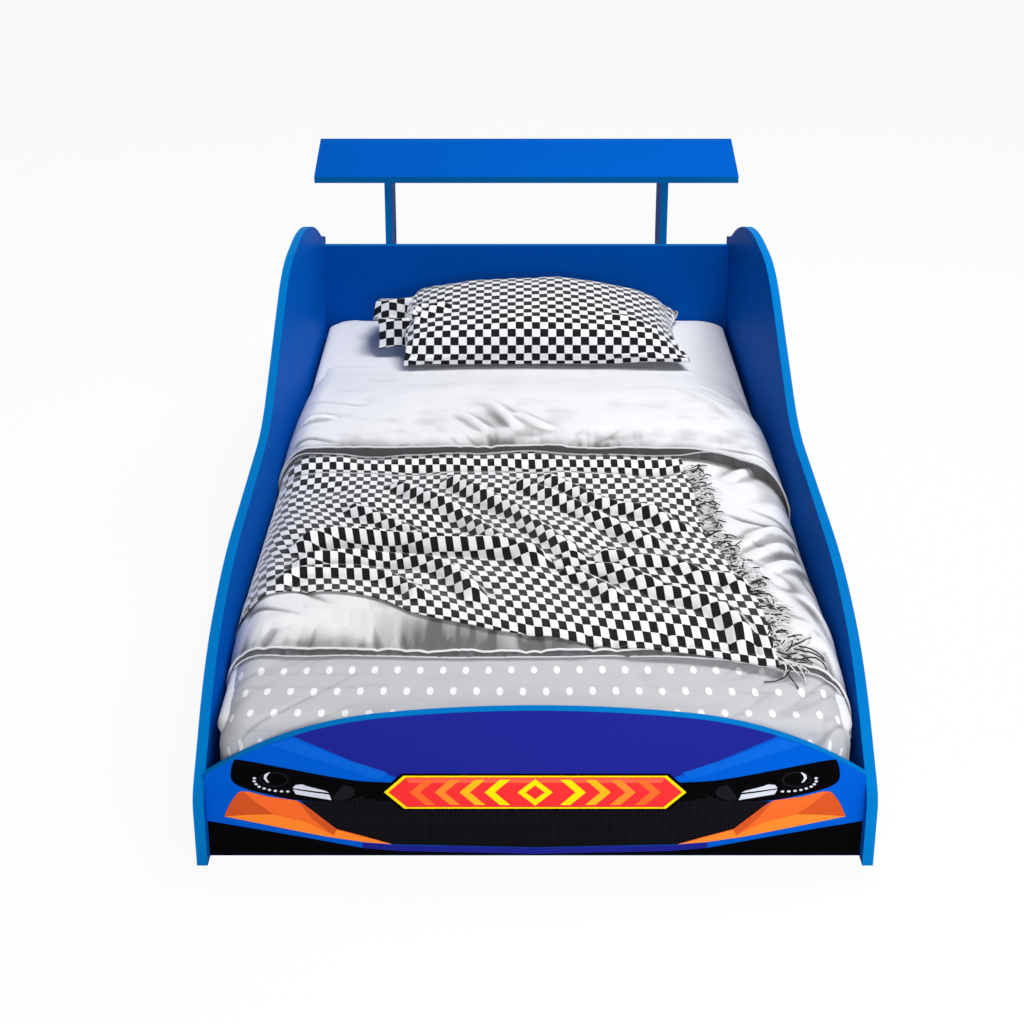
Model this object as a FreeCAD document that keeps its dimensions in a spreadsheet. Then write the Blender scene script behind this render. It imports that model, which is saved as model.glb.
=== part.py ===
import FreeCAD, Part
import math
import os

import Sketcher

# Car bed for children, in millimetres. +Z is up, the foot end (the car's nose) looks along -Y and X runs
# across the bed. The origin is on the floor, under the middle of the whole bed's bounding box.
#
# Four boards make the bed: two side panels with a car's outline, a front panel with an arched top and a
# headboard. A wing stands on two upright boards behind the headboard. Pine slats on two rails and a middle
# beam carry the mattress, and the bedding lies on it.

V = FreeCAD.Vector
doc = FreeCAD.newDocument("car_bed")

# ---------------------------------------------------------------- driving dimensions

DIMENSIONS = (
    ("board", 15, "thickness of every blue board"),
    ("bed_width", 930, "over the outer faces of the side panels"),
    ("panel_length", 1970, "side panel, from its front edge to its rear edge"),
    ("nose_height", 107, "side panel: top of the upright front edge"),
    ("nose_radius", 40, "rounding there"),
    ("bonnet_front_run", 166, "side panel: distance of the bonnet's front bend from the front edge"),
    ("bonnet_front_height", 229, ""),
    ("bonnet_front_radius", 500, ""),
    ("bonnet_back_run", 369, "side panel: where the bonnet levels out"),
    ("bonnet_back_height", 286, ""),
    ("bonnet_back_radius", 1000, ""),
    ("screen_run", 879, "side panel: foot of the windscreen slope"),
    ("screen_height", 309, ""),
    ("screen_radius", 420, ""),
    ("roof_front_run", 1270, "side panel: front of the roof"),
    ("roof_back_run", 1650, "side panel: rear bend of the roof"),
    ("roof_height", 489, ""),
    ("roof_front_radius", 420, ""),
    ("roof_back_radius", 1000, ""),
    ("boot_run", 1887, "side panel: where the rear slope meets the boot lid"),
    ("boot_height", 383, ""),
    ("tail_height", 361, "side panel: top of its upright rear edge"),
    ("front_setback", 19, "front panel's face behind the side panels' front edges"),
    ("floor_gap", 4, "front panel and headboard above the floor"),
    ("arch_end_height", 131.7, "front panel: arch at the side panels"),
    ("arch_bend_run", 335.5, "front panel: the arch's outer bend, from the middle"),
    ("arch_bend_height", 207.1, ""),
    ("arch_bend_radius", 540, ""),
    ("arch_peak_height", 242.6, "front panel: where the middle tangents of the arch cross"),
    ("arch_peak_radius", 1880, ""),
    ("headboard_run", 1920, "headboard's front face behind the side panels' front edges"),
    ("headboard_height", 353, "top of the headboard above the floor"),
    ("wing_chord", 187, "wing: front to rear along its face"),
    ("wing_tilt", 14, "wing: degrees that its rear edge is lifted"),
    ("wing_run", 1923.6, "wing: lower front edge behind the side panels' front edges"),
    ("wing_height", 492.8, "wing: lower front edge above the floor"),
    ("wing_corner_radius", 2, ""),
    ("support_spread", 610, "middle to middle of the wing's supports"),
    ("support_depth", 150, "support: front to rear at its top"),
    ("support_foot_depth", 45, "support: front to rear at its foot"),
    ("support_foot_height", 120, "support: foot above the floor"),
    ("support_waist_height", 310, "support: where its rear edge starts to lean in"),
    ("support_waist_radius", 160, ""),
    ("support_foot_radius", 24, ""),
    ("rail_thick", 20, "slat rails"),
    ("rail_tall", 40, ""),
    ("beam_wide", 40, "middle beam"),
    ("beam_tall", 40, ""),
    ("slat_top", 65, "top of the slats above the floor"),
    ("slat_thick", 12, ""),
    ("slat_wide", 68, ""),
    ("slat_end_gap", 2, "slat end to side panel"),
    ("slat_count", 13, ""),
    ("timber_chamfer", 2, "eased edges of rails, beam and slats"),
    ("bracket_leg", 30, "steel angle: each leg"),
    ("bracket_wide", 25, ""),
    ("bracket_steel", 2, ""),
    ("bracket_bend", 3, "steel angle: outer radius of the bend"),
    ("bore_clearance", 0.05, "round every screw and dowel"),
    ("mattress_wide", 880, ""),
    ("mattress_long", 1872, "pressed together a little by the quilt tucked in at its foot"),
    ("mattress_thick", 120, "at its edges, below the crown"),
    ("mattress_crown", 6, ""),
    ("mattress_corner", 56, "radius of its upright corners"),
    ("cover_gap", 3, "duvet's side edge to side panel"),
    ("quilt_thick", 9, ""),
    ("duvet_thick", 24, ""),
    ("duvet_turn_thick", 20, "the layer turned over at the head end"),
    ("throw_thick", 3, "between its folds"),
    ("throw_fold", 7, "height of the folds above that"),
    ("pillow_wide", 605, ""),
    ("pillow_deep", 350, ""),
    ("pillow_thick", 135, ""),
    ("pillow_shift", 32, "pillow's middle beside the bed's middle"),
    ("pillow_run", 1717, "pillow's middle behind the side panels' front edges"),
    ("pillow_flange", 55, "flat flap at one end of the pillow's cover"),
)

sheet = doc.addObject("Spreadsheet::Sheet", "dims")
sheet.Label = "dims"
for row, (alias, number, note) in enumerate(DIMENSIONS, start=1):
    sheet.set(f"A{row}", alias)
    sheet.set(f"B{row}", str(number))
    sheet.setAlias(f"B{row}", alias)
    sheet.set(f"C{row}", note)
doc.recompute()


class Size:
    """A number together with the spreadsheet formula that gives it."""

    def __init__(self, value, formula):
        self.value = float(value)
        self.formula = formula

    def combine(self, other, sign, value, swapped=False):
        mine = self.formula
        theirs = other.formula if isinstance(other, Size) else repr(float(other))
        if swapped:
            mine, theirs = theirs, mine
        return Size(value, f"({mine} {sign} {theirs})")

    def __add__(self, other):
        return self.combine(other, "+", self.value + number_of(other))

    def __sub__(self, other):
        return self.combine(other, "-", self.value - number_of(other))

    def __rsub__(self, other):
        return self.combine(other, "-", number_of(other) - self.value, swapped=True)

    def __mul__(self, other):
        return self.combine(other, "*", self.value * number_of(other))

    def __truediv__(self, other):
        return self.combine(other, "/", self.value / number_of(other))

    def __neg__(self):
        return Size(-self.value, f"(0 - {self.formula})")

    __radd__ = __add__
    __rmul__ = __mul__


def number_of(size):
    return size.value if isinstance(size, Size) else float(size)


def size_of(number):
    return number if isinstance(number, Size) else Size(number, repr(float(number)))


def dim(alias):
    return Size(sheet.get(alias), "dims." + alias)


def cosine(angle):
    return Size(math.cos(math.radians(angle.value)), f"cos({angle.formula} * 1deg)")


def sine(angle):
    return Size(math.sin(math.radians(angle.value)), f"sin({angle.formula} * 1deg)")


def tangent(angle):
    return Size(math.tan(math.radians(angle.value)), f"tan({angle.formula} * 1deg)")


# ---------------------------------------------------------------- places that several pieces share

board = dim("board")
inside = dim("bed_width") / 2 - board                        # inner face of a side panel, from the middle
tilt = dim("wing_tilt")
wing_back = dim("wing_run") + dim("wing_chord") * cosine(tilt)
foot_edge = -wing_back / 2                                   # Y of the side panels' front edges
front_back = dim("front_setback") + board                    # rear face of the front panel, from there
headboard_back = dim("headboard_run") + board
well_length = dim("headboard_run") - front_back
mattress_top = dim("slat_top") + dim("mattress_thick")
cover_edge = inside - dim("cover_gap")


def along(run):
    """Y of a place that is given by its distance behind the side panels' front edges."""
    return foot_edge + run


# ---------------------------------------------------------------- helpers for bodies and sketches

subparts = []


def subpart(feature, label):
    """Name a finished piece and keep it for export."""
    feature.Label = label
    subparts.append(feature)
    return feature


def put(feature, place):
    """Bind a feature's position to the sheet."""
    for axis, coordinate in zip("xyz", place):
        feature.setExpression(f"Placement.Base.{axis}", size_of(coordinate).formula)


def new_body(name, place):
    body = doc.addObject("PartDesign::Body", name)
    put(body, place)
    return body


def new_sketch(body, role):
    """A sketch on one of the body's own origin planes."""
    sketch = body.newObject("Sketcher::SketchObject", body.Name + "_outline")
    plane = next(item for item in body.Origin.OriginFeatures if item.Role == role)
    sketch.AttachmentSupport = [(plane, "")]
    sketch.MapMode = "FlatFace"
    return sketch


def hold(sketch, kind, place, size):
    """Set one driving constraint of a sketch from the sheet."""
    index = sketch.addConstraint(Sketcher.Constraint(kind, *place, size.value))
    sketch.setExpression(f"Constraints[{index}]", size.formula)


def pin(sketch, point, across, up):
    """Hold a sketch point at its distances from the sketch's origin."""
    for kind, axis, size in (("DistanceX", -2, across), ("DistanceY", -1, up)):
        size = size_of(size)
        if size.value == 0:
            sketch.addConstraint(Sketcher.Constraint("PointOnObject", *point, axis))
        else:
            hold(sketch, kind, (-1, 1, *point), size)


def draw_outline(sketch, corners):
    """Closed outline through corners (across, up, radius). A radius rounds its corner with an arc that is
    tangent to both sides; the corner itself stays in the sketch as a construction point."""
    points = [V(number_of(across), number_of(up), 0) for across, up, radius in corners]
    count = len(points)
    enter, leave, centre = [], [], []
    for index, (across, up, radius) in enumerate(corners):
        here = points[index]
        back = (points[index - 1] - here).normalize()
        ahead = (points[(index + 1) % count] - here).normalize()
        half = back.getAngle(ahead) / 2
        reach = number_of(radius) / math.tan(half) if radius else 0
        enter.append(here + back * reach)
        leave.append(here + ahead * reach)
        centre.append(here + (back + ahead).normalize() * (number_of(radius or 0) / math.sin(half)))
    lines = [sketch.addGeometry(Part.LineSegment(leave[index], enter[(index + 1) % count]))
             for index in range(count)]
    for index, (across, up, radius) in enumerate(corners):
        line_in, line_out = lines[index - 1], lines[index]
        if not radius:
            sketch.addConstraint(Sketcher.Constraint("Coincident", line_in, 2, line_out, 1))
            pin(sketch, (line_out, 1), across, up)
            continue
        arms = [point - centre[index] for point in (enter[index], leave[index])]
        turns_left = arms[0].cross(arms[1]).z > 0
        start, stop = [math.atan2(arm.y, arm.x) for arm in (arms if turns_left else arms[::-1])]
        circle = Part.Circle(centre[index], V(0, 0, 1), number_of(radius))
        arc = sketch.addGeometry(Part.ArcOfCircle(circle, start, stop if stop > start else stop + 2 * math.pi))
        first, last = (1, 2) if turns_left else (2, 1)
        sketch.addConstraint(Sketcher.Constraint("Tangent", line_in, 2, arc, first))
        sketch.addConstraint(Sketcher.Constraint("Tangent", arc, last, line_out, 1))
        hold(sketch, "Radius", (arc,), size_of(radius))
        tip = sketch.addGeometry(Part.Point(points[index]), True)
        sketch.addConstraint(Sketcher.Constraint("PointOnObject", tip, 1, line_in))
        sketch.addConstraint(Sketcher.Constraint("PointOnObject", tip, 1, line_out))
        pin(sketch, (tip, 1), across, up)


def pad(body, sketch, length, backwards=False):
    feature = body.newObject("PartDesign::Pad", body.Name + "_pad")
    feature.Profile = sketch
    feature.setExpression("Length", size_of(length).formula)
    feature.Reversed = backwards
    sketch.Visibility = False
    return feature


def padded_body(name, place, role, corners, length, backwards=False):
    """A board, bar or block: one outline, padded to its thickness or length."""
    body = new_body(name, place)
    sketch = new_sketch(body, role)
    draw_outline(sketch, corners)
    pad(body, sketch, length, backwards)
    return body


def boolean(kind, name, base, tool):
    feature = doc.addObject("Part::" + kind, name)
    feature.Base = base
    feature.Tool = tool
    return feature


def rectangle(wide, tall, radius=None, bottom=0):
    """Corners of a rectangle, centred across."""
    return [
        (-wide / 2, bottom, radius),
        (wide / 2, bottom, radius),
        (wide / 2, bottom + tall, radius),
        (-wide / 2, bottom + tall, radius),
    ]


def timber(wide, tall, bottom, left=None):
    """Corners of a planed bar's section, its four edges chamfered. Centred across unless its left is given."""
    left = -wide / 2 if left is None else left
    ease = dim("timber_chamfer")
    right, top = left + wide, bottom + tall
    corners = (
        (left + ease, bottom), (right - ease, bottom), (right, bottom + ease), (right, top - ease),
        (right - ease, top), (left + ease, top), (left, top - ease), (left, bottom + ease),
    )
    return [(across, up, None) for across, up in corners]


# ---------------------------------------------------------------- turned hardware

SCREW_SIDES = 8                      # small round pieces and their bores have this many flat sides


def flat(points):
    return Part.Face(Part.makePolygon(points + points[:1]))


def closed_solid(faces):
    solid = Part.Solid(Part.Shell(faces))
    if solid.Volume < 0:
        solid.reverse()
    return solid


def turned(profile, sides=SCREW_SIDES):
    """Turned solid about Z from (radius, depth) points; depth runs into the wood."""
    turns = [2 * math.pi * index / sides for index in range(sides)]
    rings = [[V(radius * math.cos(turn), radius * math.sin(turn), depth) for turn in turns]
             for radius, depth in profile]
    faces = [flat(rings[0]), flat(rings[-1])]
    for upper, lower in zip(rings, rings[1:]):
        faces += [flat([upper[index - 1], upper[index], lower[index], lower[index - 1]])
                  for index in range(sides)]
    return closed_solid(faces)


def widened(profile, clearance):
    """The bore for a turned piece: its profile with the clearance added to each radius and at its tip."""
    deepest = max(depth for radius, depth in profile)
    return [(radius + clearance, depth + (clearance if depth == deepest else 0)) for radius, depth in profile]


PANEL_SCREW = ((5, 0), (3, 3), (3, 50))
TIMBER_SCREW = ((3.5, 0), (2, 2), (2, 30))
BRACKET_SCREW = ((4, 0), (4, 2.2), (2, 2.2), (2, 15.5))
DOWEL = ((4, 0), (4, 30))
SCREW_CAP = ((5, -1.4), (6.5, 0))
BEAM_FOOT = ((22.5, 0), (22.5, 5), (12, 8), (12, 13))
CAP_SIDES = 16
BRACKET_SCREW_HEAD = 2.2


def aimed(shape, position, direction):
    """Copy of a turned shape with its top at a position and its depth along a direction."""
    copy = shape.copy()
    copy.Placement = FreeCAD.Placement(position, FreeCAD.Rotation(V(0, 0, 1), direction))
    return copy


def group(name, shapes):
    """Separate solids kept as one feature: equal fasteners, or the bores they need."""
    feature = doc.addObject("Part::Feature", name)
    feature.Shape = Part.makeCompound(shapes)
    return feature


def fasteners(label, profile, places, sides=SCREW_SIDES):
    return subpart(group(label, [aimed(turned(profile, sides), *place) for place in places]), label)


def bored(blank, label, *hardware):
    """A blank with the bores of the hardware that enters it: (profile, places) pairs."""
    clearance = number_of(dim("bore_clearance"))
    reach = blank.Shape.BoundBox
    reach.enlarge(1)
    bores = []
    for profile, places in hardware:
        bore = turned(widened(profile, clearance))
        bores += [shape for shape in (aimed(bore, *place) for place in places)
                  if reach.intersect(shape.BoundBox)]
    return subpart(boolean("Cut", label + "_bored", blank, group(label + "_bores", bores)), label)


# ---------------------------------------------------------------- where the fasteners go

SIDES = ((-1, "left"), (1, "right"))
half_width = number_of(dim("bed_width")) / 2
half_inside = number_of(inside)
board_thick = number_of(board)


def at(across, run, up):
    """Point given by its X, its distance behind the side panels' front edges and its height."""
    return V(across, number_of(along(run)), up)


def across_pairs(start, runs_and_heights):
    """Places on both sides that enter the bed from a distance out, towards its middle."""
    return [(at(side * start, run, up), V(-side, 0, 0))
            for side, word in SIDES for run, up in runs_and_heights]


front_middle = number_of(dim("front_setback") + board / 2)
headboard_middle = number_of(dim("headboard_run") + board / 2)
panel_screw_spots = ([(front_middle, up) for up in (35, 105)]
                     + [(headboard_middle, up) for up in (55, 180, 305)])
dowel_spots = [(front_middle, 70), (headboard_middle, 118), (headboard_middle, 242)]
panel_screw_places = across_pairs(half_width, panel_screw_spots)
dowel_places = across_pairs(half_inside + 10, dowel_spots)

# Slats: the first and last stand one gap in from the boards, and the rest are spread evenly between them.
slat_count = int(number_of(dim("slat_count")))
slat_wide = dim("slat_wide")
slat_pitch = (well_length - slat_wide - 40) / (slat_count - 1)
slat_runs = [front_back + 20 + slat_wide / 2 + slat_pitch * index for index in range(slat_count)]
rail_middle = half_inside - number_of(dim("rail_thick")) / 2
slat_screw_places = [(at(side * rail_middle, run, number_of(dim("slat_top"))), V(0, 0, -1))
                     for run in slat_runs for side, word in SIDES]

# Rail screws go in from the bed's inside, halfway between two slats.
rail_bottom = dim("slat_top") - dim("slat_thick") - dim("rail_tall")
rail_screw_height = number_of(rail_bottom + dim("rail_tall") / 2)
rail_screw_places = [
    (at(side * (half_inside - number_of(dim("rail_thick"))), slat_runs[index] + slat_pitch / 2,
        rail_screw_height), V(side, 0, 0))
    for side, word in SIDES for index in (0, 3, 6, 8, 11)
]

# Steel angles. Each has a corner line and two faces it lies on: the master's legs run along X and Z, its
# width along Y, and (position, x direction, z direction) places it.
support_outer = number_of(dim("support_spread")) / 2 + board_thick / 2
underside = V(0, number_of(sine(tilt)), -number_of(cosine(tilt)))      # way that the wing's lower face looks
along_wing = V(0, number_of(cosine(tilt)), number_of(sine(tilt)))


def under_wing(across, distance):
    """Point of the wing's lower face, a distance behind its front edge."""
    return at(across, dim("wing_run"), number_of(dim("wing_height"))) + along_wing * distance


wing_angle_places = [(under_wing(side * support_outer, distance), V(side, 0, 0), underside)
                     for side, word in SIDES for distance in (48, 130)]
back_angle_places = [(at(side * support_outer, headboard_back, up), V(side, 0, 0), V(0, 1, 0))
                     for side, word in SIDES for up in (165, 320)]
beam_half = number_of(dim("beam_wide")) / 2
beam_bottom = dim("slat_top") - dim("slat_thick") - dim("beam_tall")
beam_angle_height = number_of(beam_bottom + dim("beam_tall") / 2)
beam_angle_places = [
    (at(side * beam_half, run, beam_angle_height), V(side, 0, 0), V(0, way, 0))
    for side, word in SIDES
    for run, way in ((front_back, 1), (dim("headboard_run"), -1))
]


def angle_placement(position, x_way, z_way):
    y_way = z_way.cross(x_way)
    turn = FreeCAD.Matrix(x_way.x, y_way.x, z_way.x, 0, x_way.y, y_way.y, z_way.y, 0,
                          x_way.z, y_way.z, z_way.z, 0, 0, 0, 0, 1)
    return FreeCAD.Placement(position, FreeCAD.Placement(turn).Rotation)


def angle_screws(places):
    """One screw through each leg of each angle, at the middle of the leg, head out."""
    hole_run = number_of(dim("bracket_leg")) * 0.6
    head = number_of(dim("bracket_steel")) + BRACKET_SCREW_HEAD
    found = []
    for position, x_way, z_way in places:
        found.append((position + x_way * hole_run + z_way * head, -z_way))
        found.append((position + z_way * hole_run + x_way * head, -x_way))
    return found


spoiler_angle_screws = angle_screws(wing_angle_places + back_angle_places)
beam_angle_screws = angle_screws(beam_angle_places)

# ---------------------------------------------------------------- boards

side_outline = [
    (0, 0, None),
    (0, dim("nose_height"), dim("nose_radius")),
    (dim("bonnet_front_run"), dim("bonnet_front_height"), dim("bonnet_front_radius")),
    (dim("bonnet_back_run"), dim("bonnet_back_height"), dim("bonnet_back_radius")),
    (dim("screen_run"), dim("screen_height"), dim("screen_radius")),
    (dim("roof_front_run"), dim("roof_height"), dim("roof_front_radius")),
    (dim("roof_back_run"), dim("roof_height"), dim("roof_back_radius")),
    (dim("boot_run"), dim("boot_height"), None),
    (dim("panel_length"), dim("tail_height"), None),
    (dim("panel_length"), 0, None),
]
for side, word in SIDES:
    inner_face = inside * side
    blank = padded_body(f"side_blank_{word}", (inner_face, foot_edge, 0), "YZ_Plane", side_outline,
                        board, backwards=side < 0)
    doc.recompute()
    bored(blank, f"side_panel_{word}", (PANEL_SCREW, panel_screw_places), (DOWEL, dowel_places),
          (TIMBER_SCREW, rail_screw_places))

arch_outline = [
    (-inside, dim("floor_gap"), None),
    (inside, dim("floor_gap"), None),
    (inside, dim("arch_end_height"), None),
    (dim("arch_bend_run"), dim("arch_bend_height"), dim("arch_bend_radius")),
    (0, dim("arch_peak_height"), dim("arch_peak_radius")),
    (-dim("arch_bend_run"), dim("arch_bend_height"), dim("arch_bend_radius")),
    (-inside, dim("arch_end_height"), None),
]
front_blank = padded_body("front_blank", (0, along(dim("front_setback")), 0), "XZ_Plane", arch_outline,
                          board, backwards=True)
headboard_outline = rectangle(inside * 2, dim("headboard_height") - dim("floor_gap"),
                              bottom=dim("floor_gap"))
headboard_blank = padded_body("headboard_blank", (0, along(dim("headboard_run")), 0), "XZ_Plane",
                              headboard_outline, board, backwards=True)

wing_blank = padded_body("wing_blank", (0, along(dim("wing_run")), dim("wing_height")), "XY_Plane",
                         rectangle(dim("bed_width"), dim("wing_chord"), dim("wing_corner_radius")), board)
wing_blank.Placement.Rotation = FreeCAD.Rotation(V(1, 0, 0), number_of(tilt))
wing_blank.setExpression("Placement.Rotation.Angle", tilt.formula + " * 1deg")


def wing_underside(run):
    """Height of the wing's lower face at a distance behind the side panels' front edges."""
    return dim("wing_height") + (run - dim("wing_run")) * tangent(tilt)


support_outline = [
    (0, dim("support_foot_height"), None),
    (dim("support_foot_depth"), dim("support_foot_height"), dim("support_foot_radius")),
    (dim("support_depth"), dim("support_waist_height"), dim("support_waist_radius")),
    (dim("support_depth"), wing_underside(headboard_back + dim("support_depth")), None),
    (0, wing_underside(headboard_back), None),
]
support_blanks = [
    padded_body(f"support_blank_{word}", (dim("support_spread") / 2 * side - board / 2,
                along(headboard_back), 0), "YZ_Plane", support_outline, board)
    for side, word in SIDES
]
doc.recompute()
bored(front_blank, "front_panel", (PANEL_SCREW, panel_screw_places), (DOWEL, dowel_places),
      (BRACKET_SCREW, beam_angle_screws))
bored(headboard_blank, "headboard", (PANEL_SCREW, panel_screw_places), (DOWEL, dowel_places),
      (BRACKET_SCREW, beam_angle_screws + spoiler_angle_screws))
bored(wing_blank, "spoiler_wing", (BRACKET_SCREW, spoiler_angle_screws))
for blank, (side, word) in zip(support_blanks, SIDES):
    bored(blank, f"spoiler_support_{word}", (BRACKET_SCREW, spoiler_angle_screws))

# ---------------------------------------------------------------- slatted base

for side, word in SIDES:
    rail_left = -inside if side < 0 else inside - dim("rail_thick")
    blank = padded_body(f"rail_blank_{word}", (0, along(front_back + 2), 0), "XZ_Plane",
                        timber(dim("rail_thick"), dim("rail_tall"), rail_bottom, rail_left),
                        well_length - 4, backwards=True)
    doc.recompute()
    bored(blank, f"slat_rail_{word}", (TIMBER_SCREW, rail_screw_places + slat_screw_places))

beam_blank = padded_body("beam_blank", (0, along(front_back + 0.5), 0), "XZ_Plane",
                         timber(dim("beam_wide"), dim("beam_tall"), beam_bottom),
                         well_length - 1, backwards=True)
doc.recompute()
bored(beam_blank, "centre_beam", (BRACKET_SCREW, beam_angle_screws))

slat_length = (inside - dim("slat_end_gap")) * 2
for index, run in enumerate(slat_runs, start=1):
    blank = padded_body(f"slat_blank_{index:02d}", (-slat_length / 2, along(run), 0), "YZ_Plane",
                        timber(slat_wide, dim("slat_thick"), dim("slat_top") - dim("slat_thick")),
                        slat_length)
    doc.recompute()
    bored(blank, f"slat_{index:02d}", (TIMBER_SCREW, slat_screw_places))

# ---------------------------------------------------------------- hardware

angle_leg = dim("bracket_leg")
angle_steel = dim("bracket_steel")
angle_wide = dim("bracket_wide")
angle_outline = [
    (0, 0, dim("bracket_bend")),
    (angle_leg, 0, None),
    (angle_leg, angle_steel, None),
    (angle_steel, angle_steel, dim("bracket_bend") - angle_steel),
    (angle_steel, angle_leg, None),
    (0, angle_leg, None),
]
angle_blank = padded_body("angle_blank", (0, angle_wide / 2, 0), "XZ_Plane", angle_outline, angle_wide)
doc.recompute()
leg_screws = angle_screws([(V(0, 0, 0), V(1, 0, 0), V(0, 0, 1))])
angle_holes = group("angle_holes", [aimed(turned(widened(BRACKET_SCREW, 0.25)), *place)
                                    for place in leg_screws])
angle_master = boolean("Cut", "angle_master", angle_blank, angle_holes)
doc.recompute()


def angle_group(label, places):
    shapes = []
    for place in places:
        copy = angle_master.Shape.copy()
        copy.Placement = angle_placement(*place)
        shapes.append(copy)
    return subpart(group(label, shapes), label)


angle_group("spoiler_brackets", wing_angle_places + back_angle_places)
angle_group("beam_brackets", beam_angle_places)
fasteners("bracket_screws", BRACKET_SCREW, spoiler_angle_screws + beam_angle_screws)
fasteners("panel_screws", PANEL_SCREW, panel_screw_places)
fasteners("screw_caps", SCREW_CAP, panel_screw_places, CAP_SIDES)
fasteners("corner_dowels", DOWEL, dowel_places)
fasteners("rail_screws", TIMBER_SCREW, rail_screw_places)
fasteners("slat_screws", TIMBER_SCREW, slat_screw_places)
fasteners("beam_feet", BEAM_FOOT, [(at(0, run, 0), V(0, 0, 1)) for run in (420, 977, 1534)], CAP_SIDES)

# ---------------------------------------------------------------- soft pieces
#
# Their shapes follow each other: each layer is cut by the ones below it, so it lies on them.

def soft_wire(start, *moves):
    """Closed wire from a start point. A move is one point, a straight line, or two, an arc through them."""
    edges = []
    here = start
    for move in moves + ((start,),):
        if (move[-1] - here).Length < 0.001:
            continue
        straight = len(move) == 1
        edges.append((Part.LineSegment(here, *move) if straight else Part.Arc(here, *move)).toShape())
        here = move[-1]
    return Part.Wire(edges)


def prism(wire, way):
    return Part.Face(wire).extrude(way)


def side_point(run, up, across=0):
    return at(across, run, up)


def soft_piece(label, shape):
    feature = doc.addObject("Part::Feature", label)
    feature.Shape = shape
    return subpart(feature, label)


mattress_middle = number_of(front_back) + 11 + number_of(dim("mattress_long")) / 2
mattress_base = number_of(dim("slat_top"))
mattress_high = number_of(mattress_top)
bed_top = mattress_high + number_of(dim("mattress_crown"))


def mattress_ring(inset, up):
    """Outline of the mattress at a height, drawn in by an inset."""
    x = number_of(dim("mattress_wide")) / 2 - inset
    y = number_of(dim("mattress_long")) / 2 - inset
    radius = number_of(dim("mattress_corner")) - inset * 0.25
    nick = radius * (1 - math.sqrt(0.5))

    def corner(side, end):
        """The three points of one corner: on the long side, in the corner's arc and on the end."""
        return (at(side * x, mattress_middle + end * (y - radius), up),
                at(side * (x - nick), mattress_middle + end * (y - nick), up),
                at(side * (x - radius), mattress_middle + end * y, up))

    rear_right, rear_left = corner(1, 1), corner(-1, 1)
    front_left, front_right = corner(-1, -1), corner(1, -1)
    return soft_wire(front_right[0], (rear_right[0],), rear_right[1:], (rear_left[2],),
                     (rear_left[1], rear_left[0]), (front_left[0],), front_left[1:], (front_right[2],),
                     (front_right[1], front_right[0]))


# (inset, height): the foot's piped edge, the side drawn in, the top's piped edge and the crown.
MATTRESS_RINGS = (
    (6, mattress_base), (0, mattress_base + 12), (5, (mattress_base + mattress_high) / 2),
    (0, mattress_high - 12), (9, mattress_high), (50, bed_top - 2), (130, bed_top),
)
mattress_shape = Part.makeLoft([mattress_ring(*ring) for ring in MATTRESS_RINGS], True, True)
soft_piece("mattress", mattress_shape)

HANG_LOW = 120                      # height of the lower edge of what is tucked in at the sides
quilt_top = bed_top + number_of(dim("quilt_thick"))
quilt_front = number_of(front_back) + 2
quilt_edge = number_of(cover_edge) - 3
QUILT_END = 480


def cross_section(edge, top, crown, shoulder, drop):
    """Layer across the bed: upright at the sides, round shoulders and a crowned top."""
    nose = (edge - shoulder * 0.3, top - drop * 0.3)
    return soft_wire(
        V(-edge, 0, HANG_LOW), (V(-edge, 0, top - drop),),
        (V(-nose[0], 0, nose[1]), V(-edge + shoulder, 0, top)),
        (V(0, 0, top + crown), V(edge - shoulder, 0, top)),
        (V(nose[0], 0, nose[1]), V(edge, 0, top - drop)), (V(edge, 0, HANG_LOW),),
    )


def across_bed(wire):
    """Solid of a side profile over the whole width."""
    return prism(wire, V(2 * half_width, 0, 0)).translated(V(-half_width, 0, 0))


def down_bed(wire, start, stop):
    """Solid of a cross section between two distances behind the front edges."""
    return prism(wire, V(0, stop - start, 0)).translated(at(0, start, 0))


def over_plan(points, top):
    """Solid over a plan outline of (across, run) moves, from the hanging edge up to a height."""
    moves = [tuple(at(across, run, HANG_LOW) for across, run in move) for move in points]
    return prism(soft_wire(moves[0][0], *moves[1:]), V(0, 0, top - HANG_LOW))


quilt_side = soft_wire(
    side_point(quilt_front, HANG_LOW), (side_point(quilt_front, quilt_top - 24),),
    (side_point(quilt_front + 7, quilt_top - 7), side_point(quilt_front + 24, quilt_top)),
    (side_point(QUILT_END, quilt_top),), (side_point(QUILT_END, HANG_LOW),),
)
quilt_shape = across_bed(quilt_side).common(
    down_bed(cross_section(quilt_edge, quilt_top - 1, 1, 40, 22), quilt_front, QUILT_END))
quilt_shape = quilt_shape.cut(mattress_shape)
soft_piece("dotted_quilt", quilt_shape)

# Duvet: one layer from its foot hem, thinner past the quilt's end, and a turned-over layer on it that runs
# out under the pillow. Both hems are curves in plan: (across, run) points from the bed's middle.
duvet_edge = number_of(cover_edge)
duvet_low = bed_top + number_of(dim("duvet_thick"))
duvet_high = duvet_low + number_of(dim("quilt_thick"))
turn_top = duvet_low + number_of(dim("duvet_turn_thick"))
DUVET_END = 1600
FOOT_HEM = ((-450, 226), (-32, 240), (450, 128))
TURN_HEM = ((-450, 1050), (-20, 980), (450, 1022))


def hem_plan(hem):
    left, middle, right = hem
    return over_plan(((left,), (middle, right), ((450, DUVET_END),), ((-450, DUVET_END),)), turn_top + 50)


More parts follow.
